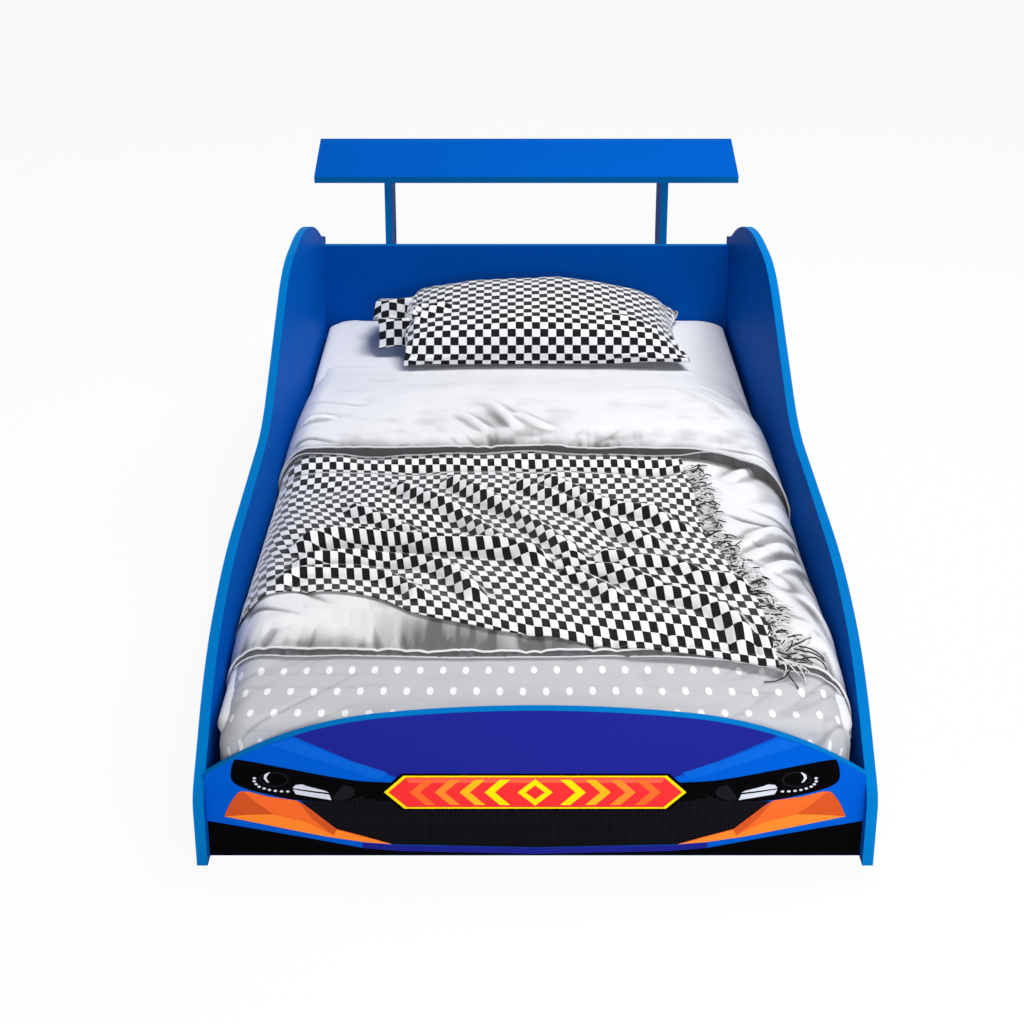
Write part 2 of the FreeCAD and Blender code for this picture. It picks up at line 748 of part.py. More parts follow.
lower_side = soft_wire(
    side_point(60, HANG_LOW), (side_point(60, duvet_high),), (side_point(430, duvet_high),),
    (side_point(560, duvet_low),), (side_point(DUVET_END, duvet_low),),
    (side_point(DUVET_END, HANG_LOW),),
)
turned_side = soft_wire(
    side_point(800, HANG_LOW), (side_point(800, turn_top),), (side_point(1320, turn_top),),
    (side_point(1490, turn_top - 13), side_point(DUVET_END, bed_top + 1),),
    (side_point(DUVET_END, HANG_LOW),),
)
lower_layer = across_bed(lower_side).common(hem_plan(FOOT_HEM)).common(
    down_bed(cross_section(duvet_edge, duvet_high - 3, 3, 52, 30), 60, DUVET_END))
turned_layer = across_bed(turned_side).common(hem_plan(TURN_HEM)).common(
    down_bed(cross_section(duvet_edge, turn_top - 3, 3, 60, 36), 800, DUVET_END))
lower_layer = lower_layer.cut(over_plan((((-460, 1300),), ((460, 1300),), ((460, 1700),),
                                         ((-460, 1700),)), turn_top + 60))
duvet_shape = lower_layer.fuse(turned_layer).cut(mattress_shape).cut(quilt_shape).removeSplitter()
soft_piece("duvet", duvet_shape)

# Throw: long diagonal folds run from the head end at the left to the foot end at the right. Each section
# across the bed has the same folds, one after another along the bed.
throw_thick = number_of(dim("throw_thick"))
throw_fold = number_of(dim("throw_fold"))
FOLDS_LEFT = (380, 500, 640, 770, 890)
FOLDS_RIGHT = (240, 330, 450, 590, 760)
FOLD_SHAPE = ((-42, 0), (-15, 0.9), (5, 1), (34, 0))      # (along the bed, part of the fold's height)
THROW_FRONT, THROW_BACK = 120, 1060
THROW_LEFT, THROW_RIGHT = -470, 400


def cover_height(run):
    """Top of the duvet along the bed: higher over the quilt."""
    part = min(max((run - 430) / 130, 0), 1)
    return duvet_high + (duvet_low - duvet_high) * part


def throw_section(across, drop):
    part = (across - THROW_LEFT) / (THROW_RIGHT - THROW_LEFT)
    spots = [(THROW_FRONT, 0)]
    for left, right in zip(FOLDS_LEFT, FOLDS_RIGHT):
        middle = left + (right - left) * part
        spots += [(middle + shift, height * throw_fold) for shift, height in FOLD_SHAPE]
    spots.append((THROW_BACK, 0))
    top = [side_point(run, cover_height(run) + throw_thick + height - drop, across) for run, height in spots]
    return Part.makePolygon(top + [side_point(THROW_BACK, HANG_LOW, across),
                                   side_point(THROW_FRONT, HANG_LOW, across), top[0]])


THROW_PLAN = (
    ((-duvet_edge, 300),), ((-372, 398),), ((-290, 420), (-203, 408)), ((-64, 332),), ((97, 267),),
    ((354, 167),), ((334, 560), (307, 1000)), ((-duvet_edge, 1050),),
)
throw_raw = Part.makeLoft([throw_section(across, drop) for across, drop in (
    (THROW_LEFT, 40), (-438, 18), (-385, -0.6), (THROW_RIGHT, -0.6))], True, True)
throw_shape = throw_raw.common(over_plan(THROW_PLAN, turn_top + 60)).cut(duvet_shape)
throw_shape = throw_shape.cut(quilt_shape).cut(mattress_shape)
soft_piece("chequered_throw", throw_shape)

# Pillow: a stuffed case, its crown highest behind the middle, its edges drawn in between four corners that
# reach further out, and a flat flap along its left end. It rests on the mattress and on the duvet's end, and
# is clear of both because it is a body of its own.
PILLOW_CLEARANCE = 0.4
PILLOW_STEPS_WIDE, PILLOW_STEPS_DEEP = 22, 14
PILLOW_SEAM_HEIGHT = 30
PILLOW_SEAM_THICK = 5
pillow_thick = number_of(dim("pillow_thick"))
pillow_low = bed_top + PILLOW_CLEARANCE
pillow_flange = number_of(dim("pillow_flange"))


def pillow_spot(across, along_it, above):
    """Point of the pillow's upper or lower cloth. Both parts run from -1 to 1 and are eased to the edges."""
    across, along_it = (math.sin(part * math.pi / 2) for part in (across, along_it))
    drawn_in = 1 - 0.05 * (1 - across ** 2) * (1 - along_it ** 2)
    wide = number_of(dim("pillow_wide")) / 2 * across * (1 - 0.035 * (1 - along_it ** 2) * across ** 2)
    deep = number_of(dim("pillow_deep")) / 2 * along_it * (1 - 0.045 * (1 - across ** 2) * along_it ** 2)
    fullness = ((1 - across ** 4) * (1 - along_it ** 4)) ** 0.5 * drawn_in
    if above:
        up = PILLOW_SEAM_HEIGHT + (pillow_thick - PILLOW_SEAM_HEIGHT) * fullness
    else:
        up = (PILLOW_SEAM_HEIGHT - PILLOW_SEAM_THICK) * max(1 - fullness * 1.6, 0)
    return at(number_of(dim("pillow_shift")) + wide, number_of(dim("pillow_run")) + deep, pillow_low + up)


def pillow_faces():
    """Both cloths in small triangles, and the thin edge between them."""
    wide_parts = [2 * index / PILLOW_STEPS_WIDE - 1 for index in range(PILLOW_STEPS_WIDE + 1)]
    deep_parts = [2 * index / PILLOW_STEPS_DEEP - 1 for index in range(PILLOW_STEPS_DEEP + 1)]
    faces = []
    for above in (True, False):
        spots = [[pillow_spot(wide, deep, above) for deep in deep_parts] for wide in wide_parts]
        for row, ahead in zip(spots, spots[1:]):
            for near, far, far_ahead, near_ahead in zip(row, row[1:], ahead[1:], ahead):
                faces += [flat([near, far, far_ahead]), flat([near, far_ahead, near_ahead])]
    edge = ([(part, -1) for part in wide_parts] + [(1, part) for part in deep_parts[1:]]
            + [(part, 1) for part in wide_parts[-2::-1]] + [(-1, part) for part in deep_parts[-2:0:-1]])
    for here, ahead in zip(edge, edge[1:] + edge[:1]):
        upper, lower = ([pillow_spot(*spot, above) for spot in (here, ahead)] for above in (True, False))
        faces.append(flat([upper[0], upper[1], lower[1], lower[0]]))
    return faces


pillow_left = number_of(dim("pillow_shift")) - number_of(dim("pillow_wide")) / 2
flange_low = pillow_low + PILLOW_SEAM_HEIGHT - PILLOW_SEAM_THICK
flange_shape = prism(soft_wire(
    at(pillow_left + 14, number_of(dim("pillow_run")) - 150, flange_low),
    (at(pillow_left - pillow_flange, number_of(dim("pillow_run")) - 120, flange_low),),
    (at(pillow_left - pillow_flange, number_of(dim("pillow_run")) + 120, flange_low),),
    (at(pillow_left + 14, number_of(dim("pillow_run")) + 150, flange_low),),
), V(0, 0, PILLOW_SEAM_THICK))
resting_on = duvet_shape.fuse(duvet_shape.translated(V(0, PILLOW_CLEARANCE, PILLOW_CLEARANCE)))
pillow_shape = closed_solid(pillow_faces()).fuse(flange_shape).cut(resting_on)
soft_piece("pillow", pillow_shape)

doc.recompute()
failed = [item.Label for item in doc.Objects if {"Invalid", "Error"} & set(item.State)]
if failed:
    raise SystemExit(f"failed features: {failed}")
for piece in subparts:
    if piece.Shape.isNull() or not piece.Shape.isValid() or not piece.Shape.Solids:
        raise SystemExit(f"{piece.Label} has no valid solid")

os.makedirs("parts", exist_ok=True)
for piece in subparts:
    piece.Shape.exportStep(f"parts/{piece.Label}.step")
    print(f"{piece.Label}: {len(piece.Shape.Solids)} solid(s), {piece.Shape.Volume / 1000:.1f} cm3")
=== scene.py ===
"""Looks of a child's car bed: laminated boards, the printed nose, the bedding, a floor, light and a camera.

Distances are in metres. X runs across the bed, Y from the nose to the head end, and Z up from the floor.
"Run" is a distance along the bed from the side panels' front edges, and "lift" a height above the mattress,
measured square to its rounded surface.
"""

import math

import bpy
import numpy as np
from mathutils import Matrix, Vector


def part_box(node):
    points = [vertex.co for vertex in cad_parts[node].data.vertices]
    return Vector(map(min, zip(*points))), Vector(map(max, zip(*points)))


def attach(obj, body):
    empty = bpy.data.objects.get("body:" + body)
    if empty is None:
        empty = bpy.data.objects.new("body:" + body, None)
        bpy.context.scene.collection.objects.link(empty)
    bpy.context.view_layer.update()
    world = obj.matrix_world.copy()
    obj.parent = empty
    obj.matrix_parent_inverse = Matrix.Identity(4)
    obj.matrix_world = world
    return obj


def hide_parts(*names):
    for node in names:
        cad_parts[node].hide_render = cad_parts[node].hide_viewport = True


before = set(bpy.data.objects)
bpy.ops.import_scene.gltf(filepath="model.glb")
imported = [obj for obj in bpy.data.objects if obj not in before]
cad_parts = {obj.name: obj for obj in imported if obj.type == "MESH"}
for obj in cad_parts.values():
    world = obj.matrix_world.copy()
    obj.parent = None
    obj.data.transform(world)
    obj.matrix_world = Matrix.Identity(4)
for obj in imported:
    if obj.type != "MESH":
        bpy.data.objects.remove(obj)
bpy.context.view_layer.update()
scene = bpy.context.scene

FRONT_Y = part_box("side_panel_left")[0].y
BED_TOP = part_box("mattress")[1].z
PANEL_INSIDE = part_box("side_panel_right")[0].x


# ---------------------------------------------------------------- numbers

def hashed(i, j, seed):
    value = np.sin(i * 127.1 + j * 311.7 + seed * 74.7) * 43758.5453
    return value - np.floor(value)


def noise(x, y, seed):
    """Smooth noise from -1 to 1 that repeats nowhere and is the same on each run."""
    i, j = np.floor(x), np.floor(y)
    fx, fy = ((part ** 3 * (part * (part * 6 - 15) + 10)) for part in (x - i, y - j))
    low = hashed(i, j, seed) * (1 - fx) + hashed(i + 1, j, seed) * fx
    high = hashed(i, j + 1, seed) * (1 - fx) + hashed(i + 1, j + 1, seed) * fx
    return 2 * (low * (1 - fy) + high * fy) - 1


def layered_noise(x, y, seed):
    """Noise of three sizes, each half as wide and half as strong as the one before."""
    return sum(noise(x * 2 ** k, y * 2 ** k, seed + 11 * k) / 2 ** k for k in range(3)) / 1.75


def step(low, high, value):
    """Soft step from 0 at low to 1 at high."""
    part = np.clip((value - low) / (high - low), 0, 1)
    return part * part * (3 - 2 * part)


def soft_line(points, soft=0.02):
    """Function of a place through (place, value) points, with its corners softened."""
    places, values = np.array(points, float).T
    xs = np.linspace(places[0], places[-1], 700)
    ys = np.interp(xs, places, values)
    reach = max(int(3 * soft / (xs[1] - xs[0])), 1)
    kernel = np.exp(-0.5 * (np.arange(-reach, reach + 1) * (xs[1] - xs[0]) / soft) ** 2)
    ends = 2 * ys[0] - ys[reach:0:-1], ys, 2 * ys[-1] - ys[-2:-reach - 2:-1]
    ys = np.convolve(np.concatenate(ends), kernel / kernel.sum(), "valid")
    return lambda at: np.interp(at, xs, ys)


def smooth_path(points, per_span):
    """Catmull-Rom curve through points of any dimension."""
    p = np.array(points, float)
    p = np.vstack([2 * p[0] - p[1], p, 2 * p[-1] - p[-2]])
    t = np.linspace(0, 1, per_span, endpoint=False)[:, None]
    spans = []
    for a, b, c, d in zip(p, p[1:], p[2:], p[3:]):
        spans.append(0.5 * (2 * b + (c - a) * t + (2 * a - 5 * b + 4 * c - d) * t ** 2
                            + (3 * b - a - 3 * c + d) * t ** 3))
    return np.vstack(spans + [p[-2:-1]])


def travelled(points, axis=0):
    """Distance from the start along lines of points."""
    lengths = np.linalg.norm(np.diff(points, axis=axis), axis=-1)
    return np.concatenate([np.zeros_like(lengths.take([0], axis)), np.cumsum(lengths, axis=axis)], axis=axis)


# ---------------------------------------------------------------- meshes

def make_mesh(name, points, quads, uv, materials, body="mattress", index=None, shade=None):
    """Piece from points and polygons of one size, with cloth coordinates and a painted shade per point (fold_shade),
    which darkens the cloth's colour.
    """
    points = np.asarray(points, np.float32).reshape(-1, 3)
    quads = np.asarray(quads, np.int32)
    mesh = bpy.data.meshes.new(name)
    mesh.vertices.add(len(points))
    mesh.vertices.foreach_set("co", points.ravel())
    mesh.loops.add(quads.size)
    mesh.loops.foreach_set("vertex_index", quads.ravel())
    mesh.polygons.add(len(quads))
    mesh.polygons.foreach_set("loop_start", np.arange(0, quads.size, quads.shape[1], dtype=np.int32))
    mesh.polygons.foreach_set("loop_total", np.full(len(quads), quads.shape[1], np.int32))
    mesh.polygons.foreach_set("use_smooth", np.ones(len(quads), bool))
    layer = mesh.uv_layers.new(name="cloth")
    layer.data.foreach_set("uv", np.asarray(uv, np.float32).reshape(-1, 2)[quads.ravel()].ravel())
    mesh.update(calc_edges=True)
    for item in materials:
        mesh.materials.append(item)
    if index is not None:
        mesh.polygons.foreach_set("material_index", np.asarray(index, np.int32))
    # fold_shade: painted shade per point, taken off the cloth's colour where folds, hollows and hems would lie in
    # shade
    if shade is not None:
        kept = mesh.attributes.new("fold_shade", "FLOAT", "POINT")
        kept.data.foreach_set("value", np.asarray(shade, np.float32).ravel())
    mesh.validate()
    piece = bpy.data.objects.new(name, mesh)
    scene.collection.objects.link(piece)
    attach(piece, body)
    return piece


def blurred(grid, reach):
    """Grid of values, each the weighted mean of those round it."""
    kernel = np.exp(-0.5 * (np.arange(-2 * reach, 2 * reach + 1) / reach) ** 2)
    kernel /= kernel.sum()
    for axis in (0, 1):
        wide = [(2 * reach, 2 * reach) if k == axis else (0, 0) for k in (0, 1)]
        padded = np.pad(grid, wide, "edge")
        grid = np.apply_along_axis(lambda line: np.convolve(line, kernel, "valid"), axis, padded)
    return grid


def hollows(level, reach, depth):
    """Share of shade in the hollows of a grid of heights: 1 where a place is that much below its surroundings."""
    return np.clip((blurred(level, reach) - level) / depth, 0, 1)


def grid_quads(rows, columns, start=0, flip=False, around=False):
    """Quads of a grid whose points are stored row by row. around joins the last column to the first."""
    i, j = np.meshgrid(np.arange(rows - 1), np.arange(columns if around else columns - 1), indexing="ij")
    ahead = (j + 1) % columns
    quads = np.stack([i * columns + j, i * columns + ahead, (i + 1) * columns + ahead,
                      (i + 1) * columns + j], -1).reshape(-1, 4) + start
    return quads[:, ::-1] if flip else quads


def slab(name, top, bottom, uv, materials, body="mattress", shade=None):
    """Closed layer between two grids of points of the same size."""
    rows, columns = top.shape[:2]
    count = rows * columns
    numbers = np.arange(count).reshape(rows, columns)
    rim = np.concatenate([numbers[0, :-1], numbers[:-1, -1], numbers[-1, :0:-1], numbers[:0:-1, 0]])
    ahead = np.roll(rim, -1)
    sides = np.stack([ahead, rim, rim + count, ahead + count], -1)
    quads = np.vstack([grid_quads(rows, columns), grid_quads(rows, columns, count, True), sides])
    return make_mesh(name, np.vstack([top.reshape(-1, 3), bottom.reshape(-1, 3)]), quads,
                     np.vstack([uv.reshape(-1, 2)] * 2), materials, body,
                     shade=None if shade is None else np.concatenate([shade.ravel(), shade.ravel()]))


def tube(path, radius, sides):
    """Points and quads of a round tube along a path, capped by closing its ends to a point."""
    path = np.asarray(path, float)
    radius = np.broadcast_to(radius, len(path))
    along = np.gradient(path, axis=0)
    along /= np.linalg.norm(along, axis=1, keepdims=True) + 1e-12
    up = np.array([0, 0, 1.0])
    side = np.cross(along, up)
    side /= np.linalg.norm(side, axis=1, keepdims=True) + 1e-9
    up = np.cross(side, along)
    turn = np.linspace(0, 2 * math.pi, sides, endpoint=False)
    ring = (np.cos(turn)[None, :, None] * side[:, None] + np.sin(turn)[None, :, None] * up[:, None])
    points = path[:, None] + ring * radius[:, None, None]
    points = np.concatenate([np.repeat(path[:1, None], sides, 1), points,
                             np.repeat(path[-1:, None], sides, 1)])
    return points.reshape(-1, 3), grid_quads(len(path) + 2, sides, around=True)


def tubes(name, runs, radius, materials, sides=8):
    """One piece of many tubes. Each run is (path, radius factor, material number)."""
    points, quads, uvs, numbers, start = [], [], [], [], 0
    for path, factor, number in runs:
        p, q = tube(path, radius * np.asarray(factor), sides)
        steps = travelled(path)
        steps = np.concatenate([[0], steps, steps[-1:]])
        uv = np.stack(np.meshgrid(steps, np.linspace(0, 2 * math.pi * radius, sides), indexing="ij"), -1)
        points.append(p)
        quads.append(q + start)
        uvs.append(uv.reshape(-1, 2))
        numbers.append(np.full(len(q), number))
        start += len(p)
    return make_mesh(name, np.vstack(points), np.vstack(quads), np.vstack(uvs), materials,
                     index=np.concatenate(numbers))


# ---------------------------------------------------------------- materials

def feed(tree, socket, value):
    """Links a socket to another, or sets its value."""
    if isinstance(value, bpy.types.NodeSocket):
        tree.links.new(value, socket)
    else:
        socket.default_value = value


def add(tree, kind, inputs, **settings):
    """First output of a new node with these inputs and settings."""
    node = tree.nodes.new("ShaderNode" + kind)
    for key, value in settings.items():
        setattr(node, key, value)
    for key, value in inputs.items():
        feed(tree, node.inputs[key], value)
    return node.outputs[0]


def new_material(name, **sockets):
    made = bpy.data.materials.new(name)
    made.use_nodes = True
    shader = made.node_tree.nodes["Principled BSDF"]
    for key, value in sockets.items():
        shader.inputs[key.replace("_", " ")].default_value = value
    return made, made.node_tree, shader


def math_node(tree, operation, *values):
    return add(tree, "Math", dict(enumerate(values)), operation=operation)


def srgb(red, green, blue):
    """Linear colour of an 8-bit screen colour."""
    return tuple(part / 255 / 12.92 if part / 255 <= 0.04045 else ((part / 255 + 0.055) / 1.055) ** 2.4
                 for part in (red, green, blue)) + (1.0,)


def mixed(tree, factor, first, second):
    node = tree.nodes.new("ShaderNodeMix")
    node.data_type = "RGBA"
    for key, value in ((0, factor), (6, first), (7, second)):
        feed(tree, node.inputs[key], value)
    return node.outputs[2]


def roughen(tree, shader, value, low, high):
    """Lets the roughness vary between two levels with a texture."""
    tree.links.new(add(tree, "MapRange", {"Value": value, "To Min": low, "To Max": high}),
                   shader.inputs["Roughness"])


def emboss(tree, shader, height, strength, distance):
    tree.links.new(add(tree, "Bump", {"Height": height, "Strength": strength, "Distance": distance}),
                   shader.inputs["Normal"])


def object_place(tree):
    return tree.nodes.new("ShaderNodeTexCoord").outputs["Object"]


def cloth_place(tree):
    """The cloth's own coordinates in metres, and their two parts."""
    place = tree.nodes.new("ShaderNodeTexCoord").outputs["UV"]
    parts = tree.nodes.new("ShaderNodeSeparateXYZ")
    tree.links.new(place, parts.inputs[0])
    return place, parts.outputs[0], parts.outputs[1]


BOARD_FACE = (0.0004, 0.089, 0.45)
# Edge colour: the bands' own blue, lightened by a painted highlight
BOARD_EDGE_AND_HIGHLIGHT = (0.001, 0.168, 0.50)


def board(name, facing):
    """Melamine-faced board whose edge bands are coloured lighter than its faces, mostly a painted highlight for the
    light that rounded edges catch and in part the bands' own colour: a fine pearl, faint cloudiness and uneven
    gloss.
    facing is the direction that its two faces look."""
    made, tree, shader = new_material(name, Specular_IOR_Level=0.002)
    place = object_place(tree)
    cloud = add(tree, "TexNoise", {"Vector": place, "Scale": 5.0, "Detail": 4.0})
    pearl = add(tree, "TexNoise", {"Vector": place, "Scale": 900.0, "Detail": 2.0})
    turn = tree.nodes.new("ShaderNodeVectorMath")
    turn.operation = "DOT_PRODUCT"
    tree.links.new(tree.nodes.new("ShaderNodeNewGeometry").outputs["True Normal"], turn.inputs[0])
    turn.inputs[1].default_value = facing
    on_edge = math_node(tree, "LESS_THAN", math_node(tree, "ABSOLUTE", turn.outputs["Value"]), 0.9)
    # Faces and edges get different colours; the edges' lighter colour is largely painted highlight
    tones = [mixed(tree, cloud, tuple(part * low for part in colour) + (1.0,),
                   tuple(part * high for part in colour) + (1.0,))
             for colour, low, high in ((BOARD_FACE, 0.9, 1.1), (BOARD_EDGE_AND_HIGHLIGHT, 0.95, 1.05))]
    tree.links.new(mixed(tree, on_edge, *tones), shader.inputs["Base Color"])
    roughen(tree, shader, cloud, 0.36, 0.52)
    emboss(tree, shader, pearl, 0.12, 0.0004)
    return made


def printed(name, colour, second=None, cell=0.0):
    """Printed foil. With a second colour it has a diagonal mesh of that pitch."""
    made, tree, shader = new_material(name, Specular_IOR_Level=0.01)
    place = object_place(tree)
    screen = add(tree, "TexNoise", {"Vector": place, "Scale": 1400.0, "Detail": 1.0})
    cloud = add(tree, "TexNoise", {"Vector": place, "Scale": 5.0, "Detail": 2.0})
    dark = tuple(part * 0.93 for part in colour[:3]) + (1.0,)
    base = mixed(tree, cloud, dark, colour)
    if second:
        parts = tree.nodes.new("ShaderNodeSeparateXYZ")
        tree.links.new(place, parts.inputs[0])
        across, up = parts.outputs[0], parts.outputs[2]
        slants = [math_node(tree, "MULTIPLY_ADD", up, sign, across) for sign in (1.0, -1.0)]
        waves = [math_node(tree, "SINE", math_node(tree, "MULTIPLY", slant, 2 * math.pi / cell)) for slant in slants]
        both = math_node(tree, "MULTIPLY", *waves)
        base = mixed(tree, math_node(tree, "GREATER_THAN", both, 0.0), base, second)
    tree.links.new(base, shader.inputs["Base Color"])
    roughen(tree, shader, screen, 0.38, 0.50)
    emboss(tree, shader, screen, 0.08, 0.0003)
    return made


def cloth(name, pattern, pitch=0.0009, sheen=0.15, gloss=0.25, sheen_rough=0.5):
    """Woven cotton. pattern(tree, across, along) gives the colour, which the point attribute fold_shade darkens with
    painted shade; the threads run along the cloth.
    """
    made, tree, shader = new_material(name, Roughness=0.85, Sheen_Weight=sheen, Sheen_Roughness=sheen_rough,
                                      Specular_IOR_Level=gloss)
    place, across, along = cloth_place(tree)
    warp = math_node(tree, "SINE", math_node(tree, "MULTIPLY", across, 2 * math.pi / pitch))
    weft = math_node(tree, "SINE", math_node(tree, "MULTIPLY", along, 2 * math.pi / pitch))
    threads = math_node(tree, "MULTIPLY", warp, weft)
    slub = add(tree, "TexNoise", {"Vector": place, "Scale": 260.0, "Detail": 3.0})
    height = math_node(tree, "MULTIPLY_ADD", threads, 0.5, slub)
    emboss(tree, shader, height, 0.35, 0.0003)
    colour = pattern(tree, across, along)
    fade = add(tree, "TexNoise", {"Vector": place, "Scale": 24.0, "Detail": 4.0})
    tone = add(tree, "MapRange", {"Value": fade, "To Min": 0.94, "To Max": 1.03})
    # Painted shade: fold_shade darkens the colour in folds, hollows and under hems, on top of a random tone
    shade = tree.nodes.new("ShaderNodeAttribute")
    shade.attribute_name = "fold_shade"
    tone = math_node(tree, "MULTIPLY", tone, math_node(tree, "SUBTRACT", 1.0, shade.outputs["Fac"]))
    toned = tree.nodes.new("ShaderNodeVectorMath")
    toned.operation = "SCALE"
    feed(tree, toned.inputs[0], colour if isinstance(colour, bpy.types.NodeSocket) else colour[:3])
    tree.links.new(tone, toned.inputs["Scale"])
    tree.links.new(toned.outputs[0], shader.inputs["Base Color"])
    return made


def plain(colour):
    return lambda tree, across, along: colour


def checks(wide, long, dark, light):
    """Chequer of dark and light cells."""
    def pattern(tree, across, along):
        cells = [math_node(tree, "FLOOR", math_node(tree, "MULTIPLY_ADD", part, 1 / size, 200.5))
                 for part, size in ((across, wide), (along, long))]
        odd = math_node(tree, "MODULO", math_node(tree, "ADD", *cells), 2.0)
        return mixed(tree, math_node(tree, "GREATER_THAN", odd, 0.5), dark, light)
    return pattern


def dots(column, row, wide, long, ground, dot, first_row):
    """Oval dots in rows, each row shifted by half a column."""
    def pattern(tree, across, along):
        rows = math_node(tree, "MULTIPLY_ADD", along, 1 / row, 40.5 - first_row / row)
        number = math_node(tree, "FLOOR", rows)
        stagger = math_node(tree, "MULTIPLY", math_node(tree, "MODULO", number, 2.0), 0.5)
        columns = math_node(tree, "ADD", math_node(tree, "MULTIPLY_ADD", across, 1 / column, 60.5), stagger)
        offsets = [math_node(tree, "MULTIPLY", math_node(tree, "SUBTRACT", math_node(tree, "FRACT", part), 0.5),
                             2 * pitch / size) for part, pitch, size in ((columns, column, wide), (rows, row, long))]
        squares = [math_node(tree, "POWER", math_node(tree, "ABSOLUTE", part), 2.2) for part in offsets]
        away = math_node(tree, "ADD", *squares)
        inside = add(tree, "MapRange", {"Value": away, "From Min": 0.85, "From Max": 1.15,
                                        "To Min": 1.0, "To Max": 0.0})
        return mixed(tree, inside, ground, dot)
    return pattern


def wood(name, light, dark, along="X"):
    """Planed softwood: long growth lines along the board."""
    made, tree, shader = new_material(name, Specular_IOR_Level=0.3)
    squeeze = add(tree, "Mapping", {"Vector": object_place(tree),
                                    "Scale": (1.2, 30, 30) if along == "X" else (30, 1.2, 30)})
    rings = add(tree, "TexNoise", {"Vector": squeeze, "Scale": 1.6, "Detail": 4.0, "Distortion": 0.6})
    fibre = add(tree, "TexNoise", {"Vector": squeeze, "Scale": 16.0, "Detail": 3.0})
    lines = math_node(tree, "FRACT", math_node(tree, "MULTIPLY", rings, 9.0))
    tree.links.new(mixed(tree, math_node(tree, "MULTIPLY_ADD", lines, 0.6, math_node(tree, "MULTIPLY", fibre, 0.4)),
                         light, dark), shader.inputs["Base Color"])
    roughen(tree, shader, fibre, 0.5, 0.7)
    emboss(tree, shader, fibre, 0.2, 0.0005)
    return made


def hard(name, dark, light, scale, rough, metal=0.0):
    """Steel or plastic with a mottled surface."""
    made, tree, shader = new_material(name, Metallic=metal)
    spots = add(tree, "TexNoise", {"Vector": object_place(tree), "Scale": scale, "Detail": 4.0})
    tree.links.new(mixed(tree, spots, dark, light), shader.inputs["Base Color"])
    roughen(tree, shader, spots, rough - 0.1, rough + 0.1)
    emboss(tree, shader, spots, 0.2, 0.0002)
    return made


WHITE_CLOTH = (0.80, 0.805, 0.815, 1.0)
BLACK_CLOTH = (0.010, 0.010, 0.012, 1.0)

side_board = board("side_board", (1, 0, 0))
cross_board = board("cross_board", (0, 1, 0))
wing_board = board("wing_board", (0, -0.30, 0.954))
pine_wood = wood("pine_wood", (0.72, 0.50, 0.27, 1), (0.50, 0.30, 0.13, 1))
pine_long = wood("pine_long", (0.72, 0.50, 0.27, 1), (0.50, 0.30, 0.13, 1), "Y")
beech_wood = wood("beech_wood", (0.62, 0.40, 0.22, 1), (0.48, 0.28, 0.14, 1))
zinc = hard("zinc_plate", (0.45, 0.46, 0.48, 1), (0.70, 0.71, 0.72, 1), 90, 0.35, 1.0)
cap_plastic = hard("cap_plastic", srgb(0, 80, 175), srgb(0, 96, 195), 400, 0.4)
foot_plastic = hard("foot_plastic", (0.015, 0.015, 0.016, 1), (0.03, 0.03, 0.032, 1), 500, 0.5)
duvet_cotton = cloth("duvet_cotton", plain(WHITE_CLOTH))
sheet_cotton = cloth("sheet_cotton", plain((0.78, 0.785, 0.80, 1)), 0.0007)
piping_cotton = cloth("piping_cotton", plain((0.83, 0.83, 0.84, 1)), 0.0006, sheen=0.1)
dotted_cotton = cloth("dotted_cotton", dots(0.0325, 0.063, 0.0092, 0.0225, (0.505, 0.512, 0.532, 1),
                                            (0.86, 0.86, 0.87, 1), 0.070))
throw_cotton = cloth("throw_cotton", checks(0.0122, 0.0245, BLACK_CLOTH, (0.88, 0.88, 0.88, 1)), 0.0012,
                     sheen=0.9, gloss=0.08, sheen_rough=0.3)
pillow_checks = cloth("pillow_checks", checks(0.017, 0.017, BLACK_CLOTH, (0.86, 0.86, 0.86, 1)), 0.0009,
                      sheen=0.9, gloss=0.08, sheen_rough=0.3)
white_yarn = cloth("white_yarn", plain((0.74, 0.74, 0.74, 1)), 0.0007, sheen=0.2)
black_yarn = cloth("black_yarn", plain((0.014, 0.014, 0.015, 1)), 0.0007, sheen=0.2)

MATERIAL_OF = (                     # the first row with a word that the node's name holds
    (("side_panel", "spoiler_support"), side_board),
    (("front_panel", "headboard"), cross_board),
    (("spoiler_wing",), wing_board),
    (("slat_rail", "centre_beam"), pine_long),
    (("screws", "brackets"), zinc),
    (("corner_dowels",), beech_wood),
    (("screw_caps",), cap_plastic),
    (("beam_feet",), foot_plastic),
    (("slat_",), pine_wood),
)
for label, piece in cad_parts.items():
    chosen = next((material for words, material in MATERIAL_OF if any(word in label for word in words)), None)
    if chosen:
        for spot in piece.material_slots:
            spot.material = chosen


# ---------------------------------------------------------------- the bed's surface

FLAT_HALF = 0.392                   # half the width that is flat before the shoulders
SHOULDER = 0.042                    # radius of the mattress's own shoulder
TURN = 0.0817                       # cloth that goes round a shoulder


def bed(across, run, lift, edge, front=-1.0):
    """Points over the mattress for cloth places. edge is the outer half width and front where the flat ends."""
    past_side = np.maximum(np.abs(across) - FLAT_HALF, 0)
    past_front = np.maximum(front - run, 0)
    past = np.hypot(past_side, past_front) + 1e-9
    angle = np.minimum(past / TURN * math.pi / 2, math.pi / 2)
    fall = np.maximum(past - TURN, 0)
    out = np.sin(angle)
    x = np.minimum(np.abs(across), FLAT_HALF) + (edge - FLAT_HALF) * out * past_side / past
    x = x + (lift - 0.02) * 0.12 * out * past_side / past
    x = np.sign(across) * np.minimum(x, PANEL_INSIDE - 0.0006)
    y = np.maximum(run, front) - 0.034 * out * past_front / past
    z = BED_TOP - SHOULDER + (SHOULDER + lift) * np.cos(angle) - fall
    return np.stack([x, y + FRONT_Y, z], -1)


